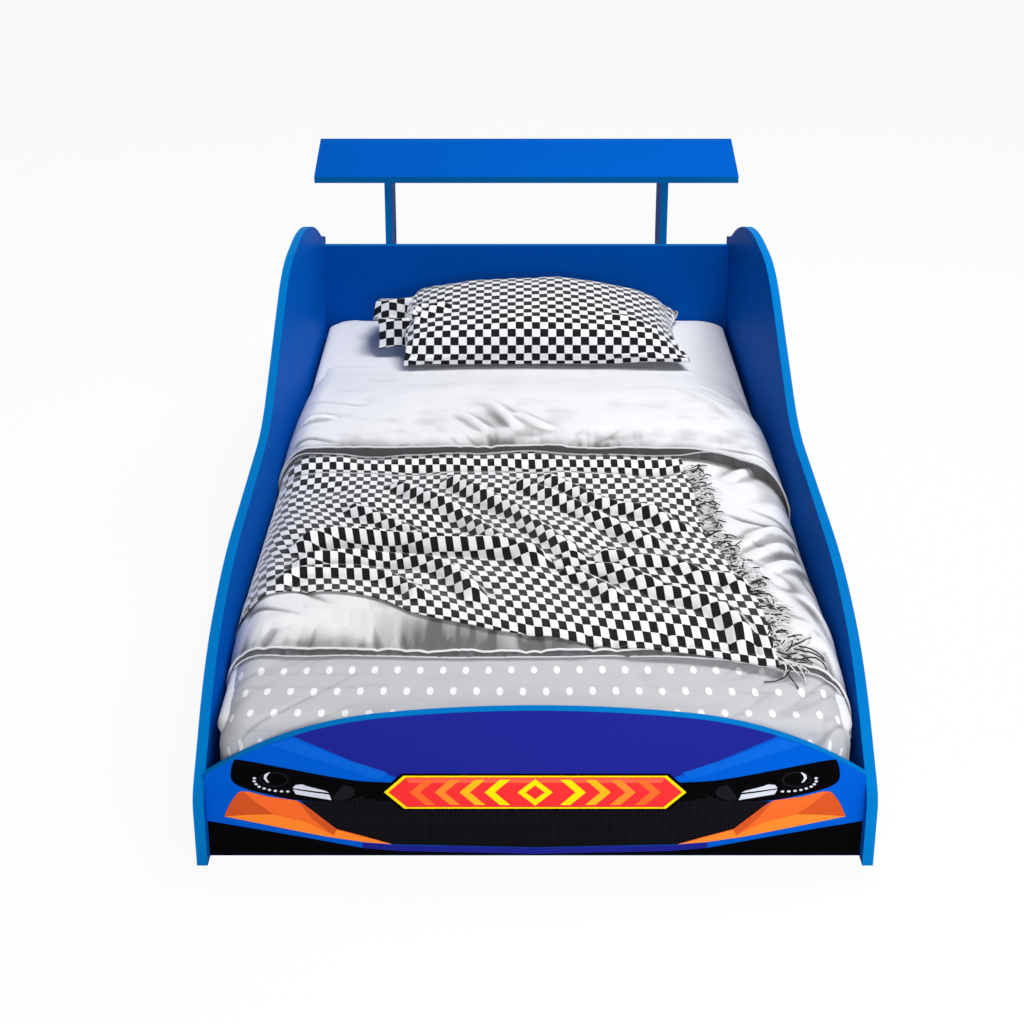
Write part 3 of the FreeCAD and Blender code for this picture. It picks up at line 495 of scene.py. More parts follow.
def from_line(x, y, line):
    """How places lie to a line of (across, run) points in mm: offset towards the foot, distance, share along it,
    and the line's normal away from the foot at its nearest point."""
    path = smooth_path(np.array(line) / 1000, 6)
    lengths = np.linalg.norm(np.diff(path, axis=0), axis=1)
    starts = travelled(path)
    facing = 1 if path[-1, 0] > path[0, 0] else -1
    nearest, offset, place = np.full(x.shape, 9.0), np.zeros(x.shape), np.zeros(x.shape)
    normal_x, normal_y = np.zeros(x.shape), np.ones(x.shape)
    for start, end, long, before in zip(path, path[1:], lengths, starts):
        way = (end - start) / long
        along = np.clip((x - start[0]) * way[0] + (y - start[1]) * way[1], 0, long)
        dx, dy = x - start[0] - along * way[0], y - start[1] - along * way[1]
        distance = np.hypot(dx, dy)
        closer = distance < nearest
        nearest = np.where(closer, distance, nearest)
        offset = np.where(closer, facing * (dx * way[1] - dy * way[0]), offset)
        place = np.where(closer, (before + along) / starts[-1], place)
        normal_x = np.where(closer, -facing * way[1], normal_x)
        normal_y = np.where(closer, facing * way[0], normal_y)
    return offset, nearest, place, normal_x, normal_y


def ridge(x, y, line, height, ahead, behind, ends):
    """Height of a fold along a line. ahead is its reach on the side nearer the foot, and ends the share of its
    length over which it rises from either end."""
    offset, nearest, place = from_line(x, y, line)[:3]
    window = step(0, ends, place) * step(0, ends, 1 - place)
    part = np.where(offset > 0, nearest / ahead, nearest / behind)
    return height * window * 0.5 * (1 + np.cos(math.pi * np.minimum(part, 1)))


foot_hem = soft_line([(-0.56, 0.237), (-0.30, 0.236), (-0.15, 0.229), (0, 0.229), (0.10, 0.232),
                      (0.20, 0.231), (0.30, 0.215), (0.36, 0.190), (0.42, 0.168), (0.46, 0.140),
                      (0.56, 0.120)])
turned_hem = soft_line([(-0.56, 0.940), (-0.45, 0.948), (-0.39, 0.953), (-0.34, 0.956), (-0.20, 0.956),
                        (0, 0.970), (0.20, 0.954), (0.30, 0.950), (0.34, 0.925), (0.382, 0.885),
                        (0.43, 0.835), (0.56, 0.760)])


def creases(along, across, seed, sharp):
    """Narrow hollows, from 0 to -1, that run along the second number's direction."""
    return -(1 - np.abs(noise(along, across, seed))) ** sharp


def side_pulls(across, run, seed):
    """Creases over the shoulders where the cloth is pulled down at the sides."""
    away = np.abs(across)
    slant = run + 0.8 * away * np.where(across > 0, 1, -0.7) + 0.030 * noise(run / 0.09, across / 0.10, seed + 1)
    strength = np.clip(0.45 + 0.9 * noise(run / 0.13, across * 0 + np.sign(across), seed + 2), 0, 1)
    return strength * creases(slant / 0.075, across / 0.12, seed, 3) * step(0.27, 0.38, away) * (
        1 - 0.5 * step(0.43, 0.50, away))


def hill(value, middle, reach):
    return np.exp(-((value - middle) / reach) ** 2)


def quilt_lift(across, run):
    wave = 0.0014 * layered_noise(across / 0.11, run / 0.045, 3)
    seams = 0.0010 * creases(run / 0.055, across / 0.35, 4, 6)
    pulls = 0.0032 * creases((across - 0.9 * run) / 0.040, run / 0.30, 5, 3) * step(0.18, 0.40, np.abs(across))
    corner = 0.0040 * creases((run * 0.8 + np.abs(across)) / 0.045, (run - across) / 0.25, 6, 3) * (
        1 - step(0.06, 0.20, run)) * step(0.25, 0.40, np.abs(across))
    return 0.009 + wave + seams + pulls + corner


LOWER_CREASES = (                   # line of (across, run) in mm, height in metres
    (((328, 557), (379, 616), (432, 644), (452, 624)), 0.010),
    (((338, 507), (388, 557), (435, 580)), 0.009),
    (((360, 451), (423, 522), (450, 540)), 0.007),
    (((337, 838), (397, 908), (434, 922)), 0.008),
    (((391, 398), (434, 329), (452, 231)), 0.009),
    (((378, 247), (424, 215), (446, 154)), 0.006),
    (((-440, 231), (-386, 279), (-335, 305)), 0.007),
    (((-410, 220), (-364, 255), (-316, 270)), 0.005),
)
TURNED_CREASES = (                  # the same
    (((-108, 1226), (-67, 1170), (-35, 1089), (-21, 1032)), 0.009),
    (((-140, 1140), (-90, 1050), (-59, 1000)), 0.008),
    (((-430, 1075), (-396, 1094), (-350, 1099)), 0.009),
    (((-45, 1153), (11, 1073), (56, 1037)), 0.006),
    (((288, 1385), (351, 1209), (399, 1063)), 0.008),
    (((326, 1434), (377, 1336), (410, 1240)), 0.006),
)


def lower_lift(across, run):
    """Top of the duvet's lower layer, which falls in puckers to its hem."""
    behind = np.maximum(run - foot_hem(across), 0)
    level = 0.040 - 0.009 * step(0.43, 0.56, run) - 0.016 * (1 - step(0, 0.085, behind)) ** 1.5
    level = level - 0.011 * hill(turned_hem(across) - run, 0.050, 0.022) * (1 - step(0.24, 0.31, across))
    calm = step(0.0, 0.09, behind)
    swell = 0.006 * layered_noise(across / 0.22, run / 0.20, 7) + 0.0045 * noise(across / 0.07, run / 0.09, 9)
    fade = np.exp(-behind / 0.042) * step(0.0, 0.010, behind)
    warp = across + 0.25 * behind * np.sin(across * 21)
    where = 0.55 + 0.45 * hill(across, -0.02, 0.22)
    puckers = (0.0085 * creases(warp / 0.034, run / 0.20, 13, 2.5)
               + 0.0022 * creases(warp / 0.013, run / 0.10, 14, 2)) * fade * where
    lines = sum(ridge(across, run, line, high * 1.1, 0.018, 0.028, 0.4) for line, high in LOWER_CREASES)
    return level + swell * calm + puckers + 0.006 * side_pulls(across, run, 16) * calm + lines * calm


def turned_lift(across, run):
    """Top of the layer turned over at the head end."""
    behind = np.maximum(run - turned_hem(across), 0)
    level = 0.0565 - 0.013 * step(0.10, 0.4, behind)
    level = level * (1 - step(0.28, 0.60, behind)) - 0.0015 * step(0.52, 0.60, behind)
    calm = step(0.0, 0.06, behind)
    keep = 1 - step(0.45, 0.60, behind)
    swell = 0.006 * layered_noise(across / 0.20, run / 0.16, 21) + 0.0025 * noise(across / 0.06, run / 0.11, 23)
    fade = np.exp(-behind / 0.040) * step(0.0, 0.010, behind)
    where = 0.25 + 0.75 * np.maximum(hill(across, -0.06, 0.07), hill(across, 0.13, 0.09))
    fan = (across + 0.02) / (0.030 + 0.15 * behind)
    puckers = (0.0085 * creases(fan, run / 0.4, 25, 2.5)
               + 0.002 * creases(across / 0.014, run / 0.10, 26, 2)) * fade * where
    lines = sum(ridge(across, run, line, high * 0.8, 0.013, 0.024, 0.4) for line, high in TURNED_CREASES)
    return level + (swell * calm + puckers + 0.0055 * side_pulls(across, run, 27) * calm + lines * calm) * keep


FOLD_SCALE = 1.3                    # the folds stand this much higher than their rows say
THROW_FOLDS = (                     # line of (across, run) in mm, height in metres
    (((-247, 826), (-213, 795), (-166, 747), (-134, 714), (-101, 666), (-50, 571), (-20, 533)), 0.012),
    (((-158, 856), (-124, 822), (-104, 795), (-31, 707), (9, 630), (47, 557), (84, 502)), 0.014),
    (((-31, 852), (11, 796), (62, 742), (85, 716), (117, 673), (161, 622), (192, 589), (221, 573)), 0.013),
    (((12, 871), (60, 819), (104, 764), (153, 724), (206, 690), (227, 656), (268, 630)), 0.010),
    (((-310, 722), (-277, 694), (-241, 666), (-205, 632), (-176, 601), (-145, 575)), 0.009),
    (((-387, 531), (-361, 560), (-323, 579), (-281, 586), (-236, 582), (-190, 571), (-144, 557),
      (-99, 546), (-31, 526), (-2, 502), (39, 479)), 0.019),
    (((-385, 481), (-347, 485), (-316, 495), (-275, 502), (-231, 502), (-198, 492), (-162, 474),
      (-132, 447), (-99, 399), (-75, 340)), 0.015),
    (((-396, 399), (-365, 433), (-329, 443), (-285, 443), (-241, 433), (-211, 413), (-181, 379),
      (-168, 340)), 0.010),
    (((23, 495), (86, 457), (138, 427), (173, 391), (211, 362), (243, 341), (281, 300), (305, 247),
      (316, 214)), 0.014),
    (((45, 464), (81, 427), (110, 376), (124, 348)), 0.009),
    (((88, 518), (129, 510), (172, 479), (222, 464), (262, 420), (299, 412), (325, 369)), 0.012),
)


def throw_folds(across, run):
    """Height of the throw's folds, and how far they draw the cloth's pattern across and along."""
    total, drawn_x, drawn_y = np.zeros(across.shape), np.zeros(across.shape), np.zeros(across.shape)
    for line, height in THROW_FOLDS:
        height *= FOLD_SCALE
        ahead, behind = 0.014 + 0.70 * height, 0.024
        offset, nearest, place, normal_x, normal_y = from_line(across, run, line)
        window = step(0, 0.10, place) * step(0, 0.10, 1 - place)
        part = np.minimum(np.where(offset > 0, nearest / ahead, nearest / behind), 1)
        total = np.maximum(total, height * window * 0.5 * (1 + np.cos(math.pi * part)))
        spare = 0.55 * height ** 2 / ahead * step(-ahead, 0, -offset) + 0.55 * height ** 2 / behind * step(
            0, behind, -offset)
        fading = np.exp(-np.maximum(-offset - behind, 0) / 0.09)
        beside = np.exp(-np.maximum(nearest - np.abs(offset), 0) / 0.03)
        spare *= 0.45 * step(0, 0.3, place) * step(0, 0.3, 1 - place) * fading * beside
        drawn_x += spare * normal_x
        drawn_y += spare * normal_y
    small = 0.0012 * noise((across * 0.75 + run * 0.65) / 0.030, (run - across) / 0.12, 31)
    calm = step(0.012, 0.06, turned_hem(across) - run)
    return (total + small) * calm, drawn_x * calm, drawn_y * calm


# ---------------------------------------------------------------- mattress

def mattress_ring(inset, height):
    """Rounded outline of the mattress at a height."""
    low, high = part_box("mattress")
    half_wide, half_long = (high.x - low.x) / 2 - inset, (high.y - low.y) / 2 - inset
    corner = min(0.055 + 0.4 * inset, half_wide * 0.95)
    corners = []
    per = 60                            # points on each quarter
    for quarter in range(4):
        turn = np.linspace(0, math.pi / 2, per // 2 + 1) + quarter * math.pi / 2
        sx, sy = ((1, 1), (-1, 1), (-1, -1), (1, -1))[quarter]
        cx, cy = sx * (half_wide - corner), sy * (half_long - corner)
        arc = np.stack([cx + corner * np.cos(turn), cy + corner * np.sin(turn)], -1)
        nx, ny = ((-1, 1), (-1, -1), (1, -1), (1, 1))[quarter]
        nxt = np.array([nx * (half_wide - corner) if quarter % 2 == 0 else nx * half_wide,
                        ny * half_long if quarter % 2 == 0 else ny * (half_long - corner)])
        line = arc[-1] + (nxt - arc[-1]) * np.linspace(0, 1, per - per // 2)[1:-1, None]
        corners.append(np.vstack([arc, line]))
    flat = np.vstack(corners)
    middle = (low.y + high.y) / 2
    return np.column_stack([flat[:, 0], flat[:, 1] + middle, np.full(len(flat), height)])


def build_mattress():
    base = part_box("mattress")[0].z
    high = BED_TOP - 0.006
    rings = [(0.30, base), (0.10, base), (0.012, base), (0.004, base + 0.003), (0, base + 0.012),
             (0.004, base + 0.03), (0.006, (base + high) / 2), (0.004, high - 0.03), (0, high - 0.014),
             (0.0025, high - 0.006), (0.008, high - 0.0005), (0.016, high + 0.0015)]
    rings += [(inset, BED_TOP - 0.0045 * (1 - (inset - 0.02) / 0.2) ** 2 if inset < 0.22 else BED_TOP)
              for inset in np.linspace(0.026, 0.40, 40)]
    points = np.array([mattress_ring(*ring) for ring in rings])
    on_top = np.array([ring[1] > high - 0.001 for ring in rings])
    x, y = points[..., 0], points[..., 1] - FRONT_Y
    near_edge = np.clip(1 - (0.44 - np.abs(x)) / 0.09, 0, 1) + np.clip(1 - (1.917 - y) / 0.12, 0, 1)
    wave = 0.0010 * layered_noise(x / 0.10, y / 0.10, 41) + 0.0022 * np.maximum(
        noise((x * 0.8 + y) / 0.028, (x - y) / 0.18, 43), 0) * np.minimum(near_edge, 1)
    points[..., 2] += np.where(on_top[:, None], wave - 0.0022, 0)
    around = points.shape[1]
    quads = grid_quads(len(rings), around, around=True)
    extra = np.array([points[0].mean(0), points[-1].mean(0)])
    flat_points = np.vstack([points.reshape(-1, 3), extra])
    count = len(rings) * around
    last = count - around
    caps = []
    for j in range(0, around, 2):
        a, b, c = j, (j + 1) % around, (j + 2) % around
        caps.append((c, b, a, count))
        caps.append((last + a, last + b, last + c, count + 1))
    piece = make_mesh("mattress_cover", flat_points, np.vstack([quads, caps]), flat_points[:, :2],
                      [sheet_cotton])
    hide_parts("mattress")


# ---------------------------------------------------------------- quilt and duvet

def build_quilt():
    across = np.linspace(-0.500, 0.500, 320)
    run = np.linspace(-0.020, 0.46, 150)
    b, a = np.meshgrid(run, across, indexing="ij")
    edge = 0.4440 - 0.0085 * (1 - step(0.04, 0.24, b))
    fall = 0.070                        # run at which the quilt turns down over the mattress's foot
    level = quilt_lift(a, b)
    top = bed(a, b, level, edge, fall)
    bottom = bed(a, b, np.full(a.shape, 0.0008), edge - 0.0030, fall)
    bottom[..., 1] += 0.007 * np.clip((fall - b) / 0.05, 0, 1)
    # Painted shade: the quilt's colour is darkened where its cloth lies in hollows and seams
    piece = slab("quilt_cover", top, bottom, np.stack([a, b], -1), [dotted_cotton],
                 shade=0.35 * hollows(level, 5, 0.0022))
    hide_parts("dotted_quilt")


BAND_ROWS = ((0.012, -0.02), (0.0035, 0.0), (0.0030, 0.12), (0.0034, 0.35), (0.0034, 0.65), (0.0030, 0.88),
             (0.0035, 0.98))        # distance behind the hem, share of the box edge's height
BAND = len(BAND_ROWS)


def hemmed_layer(name, hem, end, lift, under, band_low, edge, band_shade, taper, painted_shade_spots):
    """Padded layer of the duvet with a box edge at its hem: an upper row, a recessed band and a lower row.
    taper is 1 where the band thins towards the sides. band_shade is painted shade on the recessed band, and the last
    argument gives patches of painted shade just behind the hem, each (across, reach, depth, strength)."""
    long_rows = np.concatenate([[0.006, 0.010, 0.015], np.arange(0.020, end, 0.0042)])
    a = np.linspace(-0.500, 0.500, 300)
    start = hem(a)
    rows_run, rows_lift = [], []
    crest = lift(a, start + 0.006)
    thinner = 0.92 * step(0.26, 0.34, a) + 0.5 * step(0.34, 0.44, -a)
    low = crest - (crest - band_low(a, start)) * (1 - taper * thinner)
    ripple = 0.0010 * noise(a / 0.0085, a * 0, 51) + 0.0008 * noise(a / 0.02, a * 0, 52)
    for forward, part in BAND_ROWS:
        rows_run.append(start + forward + ripple * (0.1 < part < 0.9))
        rows_lift.append(low + (crest - 0.0015 - low) * part)
    for forward in long_rows:
        rows_run.append(start + forward)
        rows_lift.append(lift(a, start + forward))
    b, level = np.array(rows_run), np.array(rows_lift)
    a2 = np.broadcast_to(a, b.shape)
    top = bed(a2, b, level, edge)
    bottom = bed(a2, np.maximum(b, start + 0.012), np.minimum(under(a2, b), level - 0.0004), edge - 0.0006)
    bottom[..., 2] = np.minimum(bottom[..., 2], top[..., 2] - 0.0002)
    # Painted shade in the hollows of the layer's top, which on a tapered layer fades further behind the hem
    shade = 0.45 * hollows(level, 3, 0.0009) + 0.35 * hollows(level, 9, 0.0040)
    shade *= 1 - 0.75 * taper * step(0.12, 0.30, b - start)
    # Painted shade on the recessed band, in streaks and darker towards its upper row
    streaks = 0.5 + 0.5 * noise(a / 0.007, a * 0, 57) * noise(a / 0.05, a * 0, 58)
    rising = 0.80 + 0.25 * np.linspace(0, 1, BAND)[:, None]
    shade[:BAND] = np.clip(band_shade * (0.80 + 0.25 * streaks) * rising, 0, 0.88)
    # Painted shade just behind the hem, in patches and streaks, strongest at the given spots and weaker at the right
    # side of a tapered layer
    behind = b[BAND:] - start
    patches = 0.5 + 0.5 * layered_noise(a / 0.045, a * 0, 59)
    near = np.exp(-(behind / (0.012 + 0.026 * patches)) ** 2) * (0.35 + 0.4 * patches)
    streaky = 0.50 + 0.50 * np.clip(noise(a2[BAND:] / 0.010, b[BAND:] / 0.07, 61) + 0.3, 0, 1)
    for middle, reach, deep, strength in painted_shade_spots:
        near = np.maximum(near, strength * streaky * hill(a, middle, reach) * np.exp(-(behind / deep) ** 2))
    fine = 0.12 * (0.5 + 0.5 * noise(a2[BAND:] / 0.006, b[BAND:] / 0.05, 60)) * np.exp(-behind / 0.06)
    near = near * (1 - 0.75 * taper * step(0.27, 0.34, a))
    shade[BAND:] = np.clip(1 - (1 - shade[BAND:]) * (1 - near) * (1 - fine), 0, 0.85)
    piece = slab(name, top, bottom, np.stack([a2, b], -1), [duvet_cotton], shade=shade)
    cords = []
    for forward, height, size in ((0.0028, crest - 0.0008, 1.0), (0.0030, low + 0.0016, 0.8)):
        wobble = 0.0005 * noise(a / 0.03, a * 0, 55 + size)
        cords.append((bed(a, start + forward + wobble, height, edge), size, 0))
    cord = tubes(name + "_piping", cords, 0.0017, [piping_cotton])
    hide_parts("duvet")


def build_duvet():
    # 0.98 and 1.10 set each band's painted shade; the closing tuples place patches of painted shade behind each hem
    hemmed_layer(
        "duvet_lower", foot_hem, 0.86, lower_lift,
        lambda a, b: np.where(b < 0.45, 0.0102, 0.0102 - 0.0094 * step(0.45, 0.5, b)),
        lambda a, b: quilt_lift(a, b) + 0.0006, 0.4465, 0.98, 0,
        ((-0.10, 0.100, 0.095, 1.7), (0.03, 0.10, 0.080, 1.6), (-0.32, 0.12, 0.030, 0.7)))
    hemmed_layer(
        "duvet_turned", turned_hem, 0.615, turned_lift,
        lambda a, b: np.where(b < 1.10, 0.029, 0.029 - 0.0285 * step(1.10, 1.25, b)),
        lambda a, b: lower_lift(a, b) + 0.0065, 0.4480, 1.10, 1,
        ((-0.045, 0.038, 0.055, 1.2), (0.13, 0.08, 0.038, 1.2), (-0.24, 0.12, 0.018, 0.8),
         (0.30, 0.06, 0.024, 0.6)))


# ---------------------------------------------------------------- throw

throw_hem = soft_line([(-0.56, 0.335), (-0.46, 0.352), (-0.43, 0.362), (-0.405, 0.370), (-0.367, 0.384),
                       (-0.314, 0.380), (-0.268, 0.372), (-0.222, 0.360), (-0.202, 0.340), (-0.182, 0.312),
                       (-0.137, 0.295), (-0.064, 0.272), (0.016, 0.260), (0.081, 0.243), (0.153, 0.230),
                       (0.225, 0.219), (0.288, 0.203), (0.349, 0.181)], 0.008)
# Run of the check rows at the hem, which the hem's own jogs cut across
row_start = soft_line([(-0.56, 0.335), (-0.30, 0.335), (-0.15, 0.315), (0.0, 0.270), (0.153, 0.232),
                       (0.225, 0.219), (0.288, 0.203), (0.349, 0.181)], 0.03)
ROW_END = 0.985                     # run where the cloth's rows lie straight across the bed
throw_side = soft_line([(0.100, 0.350), (0.190, 0.350), (0.262, 0.342), (0.354, 0.335), (0.463, 0.310),
                        (0.564, 0.295), (0.646, 0.279), (0.777, 0.279), (0.909, 0.271), (1.03, 0.268)], 0.02)
THROW_LONG = 0.84                   # cloth coordinate at ROW_END, counted from row_start
THROW_LEFT = -0.535
THROW_CORNER = 0.349                # across, where the hem meets the fringed side
THROW_TUCK = 0.030                  # how far the cloth goes under the turned layer


def throw_lift(across, run):
    """Top of the throw: it lies on the duvet and on the step down to the quilt at its lower corner."""
    on_duvet = lower_lift(across, np.maximum(run, foot_hem(across) + 0.004))
    off = step(0.0, 0.035, foot_hem(across) - run)
    on_quilt = quilt_lift(across, run)
    return on_duvet * (1 - off) + on_quilt * off + 0.0032 + 0.002 * step(0, 0.02, run - foot_hem(across))


def build_throw():
    t = np.linspace(0, 1, 300)
    s = np.linspace(0, 1, 290)
    s2, t2 = np.meshgrid(s, t, indexing="ij")
    first = THROW_LEFT + (THROW_CORNER - THROW_LEFT) * t2
    hem = throw_hem(first)
    b = hem + (turned_hem(first) + THROW_TUCK - hem) * s2
    a = THROW_LEFT + (throw_side(b) - THROW_LEFT) * t2
    folds, drawn_x, drawn_y = throw_folds(a, b)
    level = throw_lift(a, b) + folds
    top = bed(a, b, level, 0.4476)
    bottom = bed(a, b, level - 0.0014, 0.4470)
    u = a - a[:, -1:] + blurred(drawn_x, 5)
    v = (b - row_start(a)) / (ROW_END - row_start(a)) * THROW_LONG + blurred(drawn_y, 5)
    # Painted shade: the checks are darkened in the valleys between the folds
    piece = slab("throw_cloth", top, bottom, np.stack([u, v], -1), [throw_cotton],
                 shade=0.55 * hollows(level, 5, 0.006))
    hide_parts("chequered_throw")
    return piece, top


def build_fringe(top):
    """Knotted yarns along the throw's end."""
    generator = np.random.default_rng(7)
    edge = top[:, -1]
    runs = []
    steps = travelled(edge)
    spots = np.arange(0.002, steps[-1] - 0.03, 0.0034)
    for spot in spots:
        root = np.array([np.interp(spot, steps, edge[:, k]) for k in range(3)])
        for strand in range(2):
            loose = generator.random() < 0.55
            start = root[:2] + (generator.uniform(0.004, 0.030) if loose else 0, generator.normal(0, 0.003))
            length = generator.uniform(0.010, 0.026) * (2.2 if spot < 0.04 else 1)
            heading = generator.normal(-0.35, 1.0 if loose else 0.7)
            bend = generator.normal(0, 0.9)
            part = np.linspace(0, 1, 7)
            turn = heading + bend * part
            stride = length / 6
            x = start[0] + np.concatenate([[0], np.cumsum(np.cos(turn[:-1]) * stride)])
            y = start[1] + np.concatenate([[0], np.cumsum(np.sin(turn[:-1]) * stride)])
            run = y - FRONT_Y
            lie = bed(x, run, throw_lift(x, run) - 0.0020, 0.4465)
            lie[:, 2] += 0.004 * np.sin(math.pi * part) * generator.uniform(0, 1) + 0.001 * strand
            if not loose:
                lie[0] = root - (0.0015, 0, 0.0004)
            runs.append((lie, 1 - 0.25 * part, int(generator.random() < 0.45)))
    return tubes("throw_fringe", runs, 0.00125, [white_yarn, black_yarn], sides=5)


# ---------------------------------------------------------------- pillow

PILLOW_MIDDLE = 0.032
PILLOW_HALF_WIDE, PILLOW_HALF_DEEP = 0.3025, 0.176
crest_height = soft_line([(-1, 0.46), (-0.93, 0.68), (-0.77, 0.80), (-0.5, 0.91), (-0.2, 0.98), (0.1, 1.0),
                          (0.4, 0.90), (0.69, 0.75), (0.87, 0.54), (0.95, 0.34), (1, 0.05)], 0.04)


PILLOW_PROFILE = ((-176, 14), (-174, 34), (-165, 64), (-145, 88), (-106, 104), (-50, 115), (10, 124), (60, 128),
                  (105, 123), (140, 104), (162, 72), (173, 38), (176, 16))
PILLOW_CREASES = (                  # line of (across, deep) in mm from its middle, height and reach in metres
    (((-262, -104), (-240, -88), (-205, -62), (-150, -34)), 0.017, 0.022),
    (((-275, -60), (-245, -30), (-215, 0)), 0.006, 0.018),
    (((150, -96), (185, -92), (222, -98), (262, -112)), 0.006, 0.016),
    (((262, -150), (268, -110), (285, -60)), 0.006, 0.014),
    (((-60, -150), (10, -118), (60, -140)), 0.003, 0.020),
)


def pillow_grid(above):
    """Upper or lower cloth of the pillow: steep at the front, then a long rise to a crest behind the middle."""
    low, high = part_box("pillow")
    across, deep = np.meshgrid(np.linspace(-1, 1, 120), np.linspace(-1, 1, 96), indexing="ij")
    ease_x = np.sin(across * math.pi / 2) * 0.35 + across * 0.65
    profile = smooth_path(np.array(PILLOW_PROFILE) / 1000, 12)
    place = travelled(profile)
    part = (deep + 1) / 2 * place[-1]
    forward = np.interp(part, place, profile[:, 0])
    up = np.interp(part, place, profile[:, 1])
    ease_y = forward / PILLOW_HALF_DEEP
    pinch = np.where(ease_x > 0, 0.045 * (1 - ease_y ** 2), 0.040 * ease_y ** 2 + 0.012)
    x = PILLOW_MIDDLE + PILLOW_HALF_WIDE * ease_x * (1 - pinch * np.abs(ease_x) ** 3)
    y = forward * (1 - 0.04 * (1 - ease_x ** 2) * ease_y ** 2)
    seam = 0.014
    if above:
        full = (up - seam) / 0.114
        lifted = 0.004
        edge = np.minimum(1 - np.abs(ease_x), 1 - np.abs(ease_y))
        tucks = 0.003 * creases((across * 3.4 + deep * 0.5) / 0.45, deep / 0.9, 61, 2.5) * np.exp(-edge / 0.14)
        gathers = 0.003 * creases(deep / 0.22, across / 0.6, 62, 2.5) * np.exp(-(1 - np.abs(ease_x)) / 0.12)
        swell = 0.003 * layered_noise(x / 0.12, y / 0.10, 63)
        folds = sum(ridge(x, y, line, height, reach, reach, 0.35) for line, height, reach in PILLOW_CREASES)
        relief = (tucks + gathers + swell + folds) * np.clip(full * 3, 0, 1)
        z = seam + (up - seam) * crest_height(ease_x) + lifted * full + relief
    else:
        z = (seam - 0.002) * np.maximum(1 - (1 - np.abs(ease_y) ** 2.3) ** 0.6 * 1.6, 0)
    return np.stack([x, y + (low.y + high.y) / 2, z + low.z], -1)


def inflate(piece, pressure, growth, cap, floor_height):
    """Puffs a closed piece in a short cloth simulation. No point moves further than cap or below the bed."""
    mesh, frames = piece.data, 20
    start = np.zeros(len(mesh.vertices) * 3, np.float32)
    mesh.vertices.foreach_get("co", start)
    start = start.reshape(-1, 3)
    modifier = piece.modifiers.new("Puff", "CLOTH")
    settings = modifier.settings
    settings.quality = 5
    settings.mass = 0.25
    settings.tension_stiffness = settings.compression_stiffness = 18
    settings.bending_stiffness = 0.4
    settings.use_pressure = True
    settings.uniform_pressure_force = pressure
    settings.shrink_min = -growth
    settings.effector_weights.gravity = 0
    modifier.point_cache.frame_start, modifier.point_cache.frame_end = 1, frames
    for number in range(1, frames + 1):
        scene.frame_set(number)
    ready = piece.evaluated_get(bpy.context.evaluated_depsgraph_get())
    moved = np.zeros(len(mesh.vertices) * 3, np.float32)
    ready.data.vertices.foreach_get("co", moved)
    moved = moved.reshape(-1, 3)
    piece.modifiers.remove(modifier)
    shift = moved - start
    size = np.linalg.norm(shift, axis=1, keepdims=True) + 1e-9
    shift *= np.minimum(size, cap) / size
    result = start + shift
    result[:, 2] = np.maximum(result[:, 2], floor_height(result[:, 0], result[:, 1]))
    mesh.vertices.foreach_set("co", result.astype(np.float32).ravel())
    mesh.update()
    scene.frame_set(1)


def under_pillow(x, y):
    """Height of what the pillow lies on."""
    return np.maximum(turned_lift(x, y - FRONT_Y), 0) + BED_TOP + 0.0008


def build_pillow():
    top = pillow_grid(True)
    bottom = pillow_grid(False)
    bottom[..., 2] = np.maximum(bottom[..., 2], under_pillow(bottom[..., 0], bottom[..., 1]))
    top[..., 2] = np.maximum(top[..., 2], bottom[..., 2] + 0.002)
    v = travelled(top, 1)
    u = travelled(top)
    u = u - u[len(u) // 2]
    piece = slab("pillow_case", top, bottom, np.stack([u, v], -1), [pillow_checks], "pillow")
    inflate(piece, 4.0, 0.03, 0.007, under_pillow)
    smoothing = piece.modifiers.new("Smooth", "SUBSURF")
    smoothing.levels = smoothing.render_levels = 1
    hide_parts("pillow")


def build_flange():
    """Flap of the case beyond the filling at its left end, crumpled in two steps that face the foot."""
    side = soft_line([(0, 1.633), (0.20, 1.648), (0.28, 1.665), (0.52, 1.746), (0.60, 1.756), (0.72, 1.770),
                      (1, 1.865)], 0.015)
    up = soft_line([(0, 0.213), (0.20, 0.270), (0.28, 0.266), (0.50, 0.238), (0.56, 0.242), (0.70, 0.279),
                    (0.80, 0.272), (1, 0.250)], 0.015)
    out = np.linspace(0, 1, 26)
    along = np.linspace(0, 1, 110)
    o, s = np.meshgrid(out, along, indexing="ij")
    x = -0.248 - 0.074 * o + 0.010 * np.sin(7 * s + 1) * o
    y = FRONT_Y + side(s) + 0.010 * o * np.sin(5 * s)
    z = up(s) - 0.004 * o + 0.004 * np.sin(11 * s + 4 * o) * o
    top = np.stack([x, y, np.maximum(z, BED_TOP + 0.004)], -1)
    step_s = np.gradient(top, axis=1)
    step_o = np.gradient(top, axis=0)
    normal = np.cross(step_s, step_o)
    normal /= np.linalg.norm(normal, axis=2, keepdims=True)
    bottom = top - 0.0022 * normal * np.sign(normal[..., 2:].mean())
    piece = slab("pillow_flange", top, bottom, np.stack([x, travelled(top, 1) + 0.006], -1), [pillow_checks],
                 "pillow")


# ---------------------------------------------------------------- printed nose

front_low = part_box("front_panel")[0]
nose_points = np.array([v.co[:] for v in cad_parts["front_panel"].data.vertices])
nose_face = nose_points[nose_points[:, 1] < front_low.y + 1e-4]
nose_top = nose_face[nose_face[:, 2] > 0.10]
nose_top = nose_top[np.argsort(nose_top[:, 0])]


def arch(x):
    return np.interp(x, nose_top[:, 0], nose_top[:, 2])


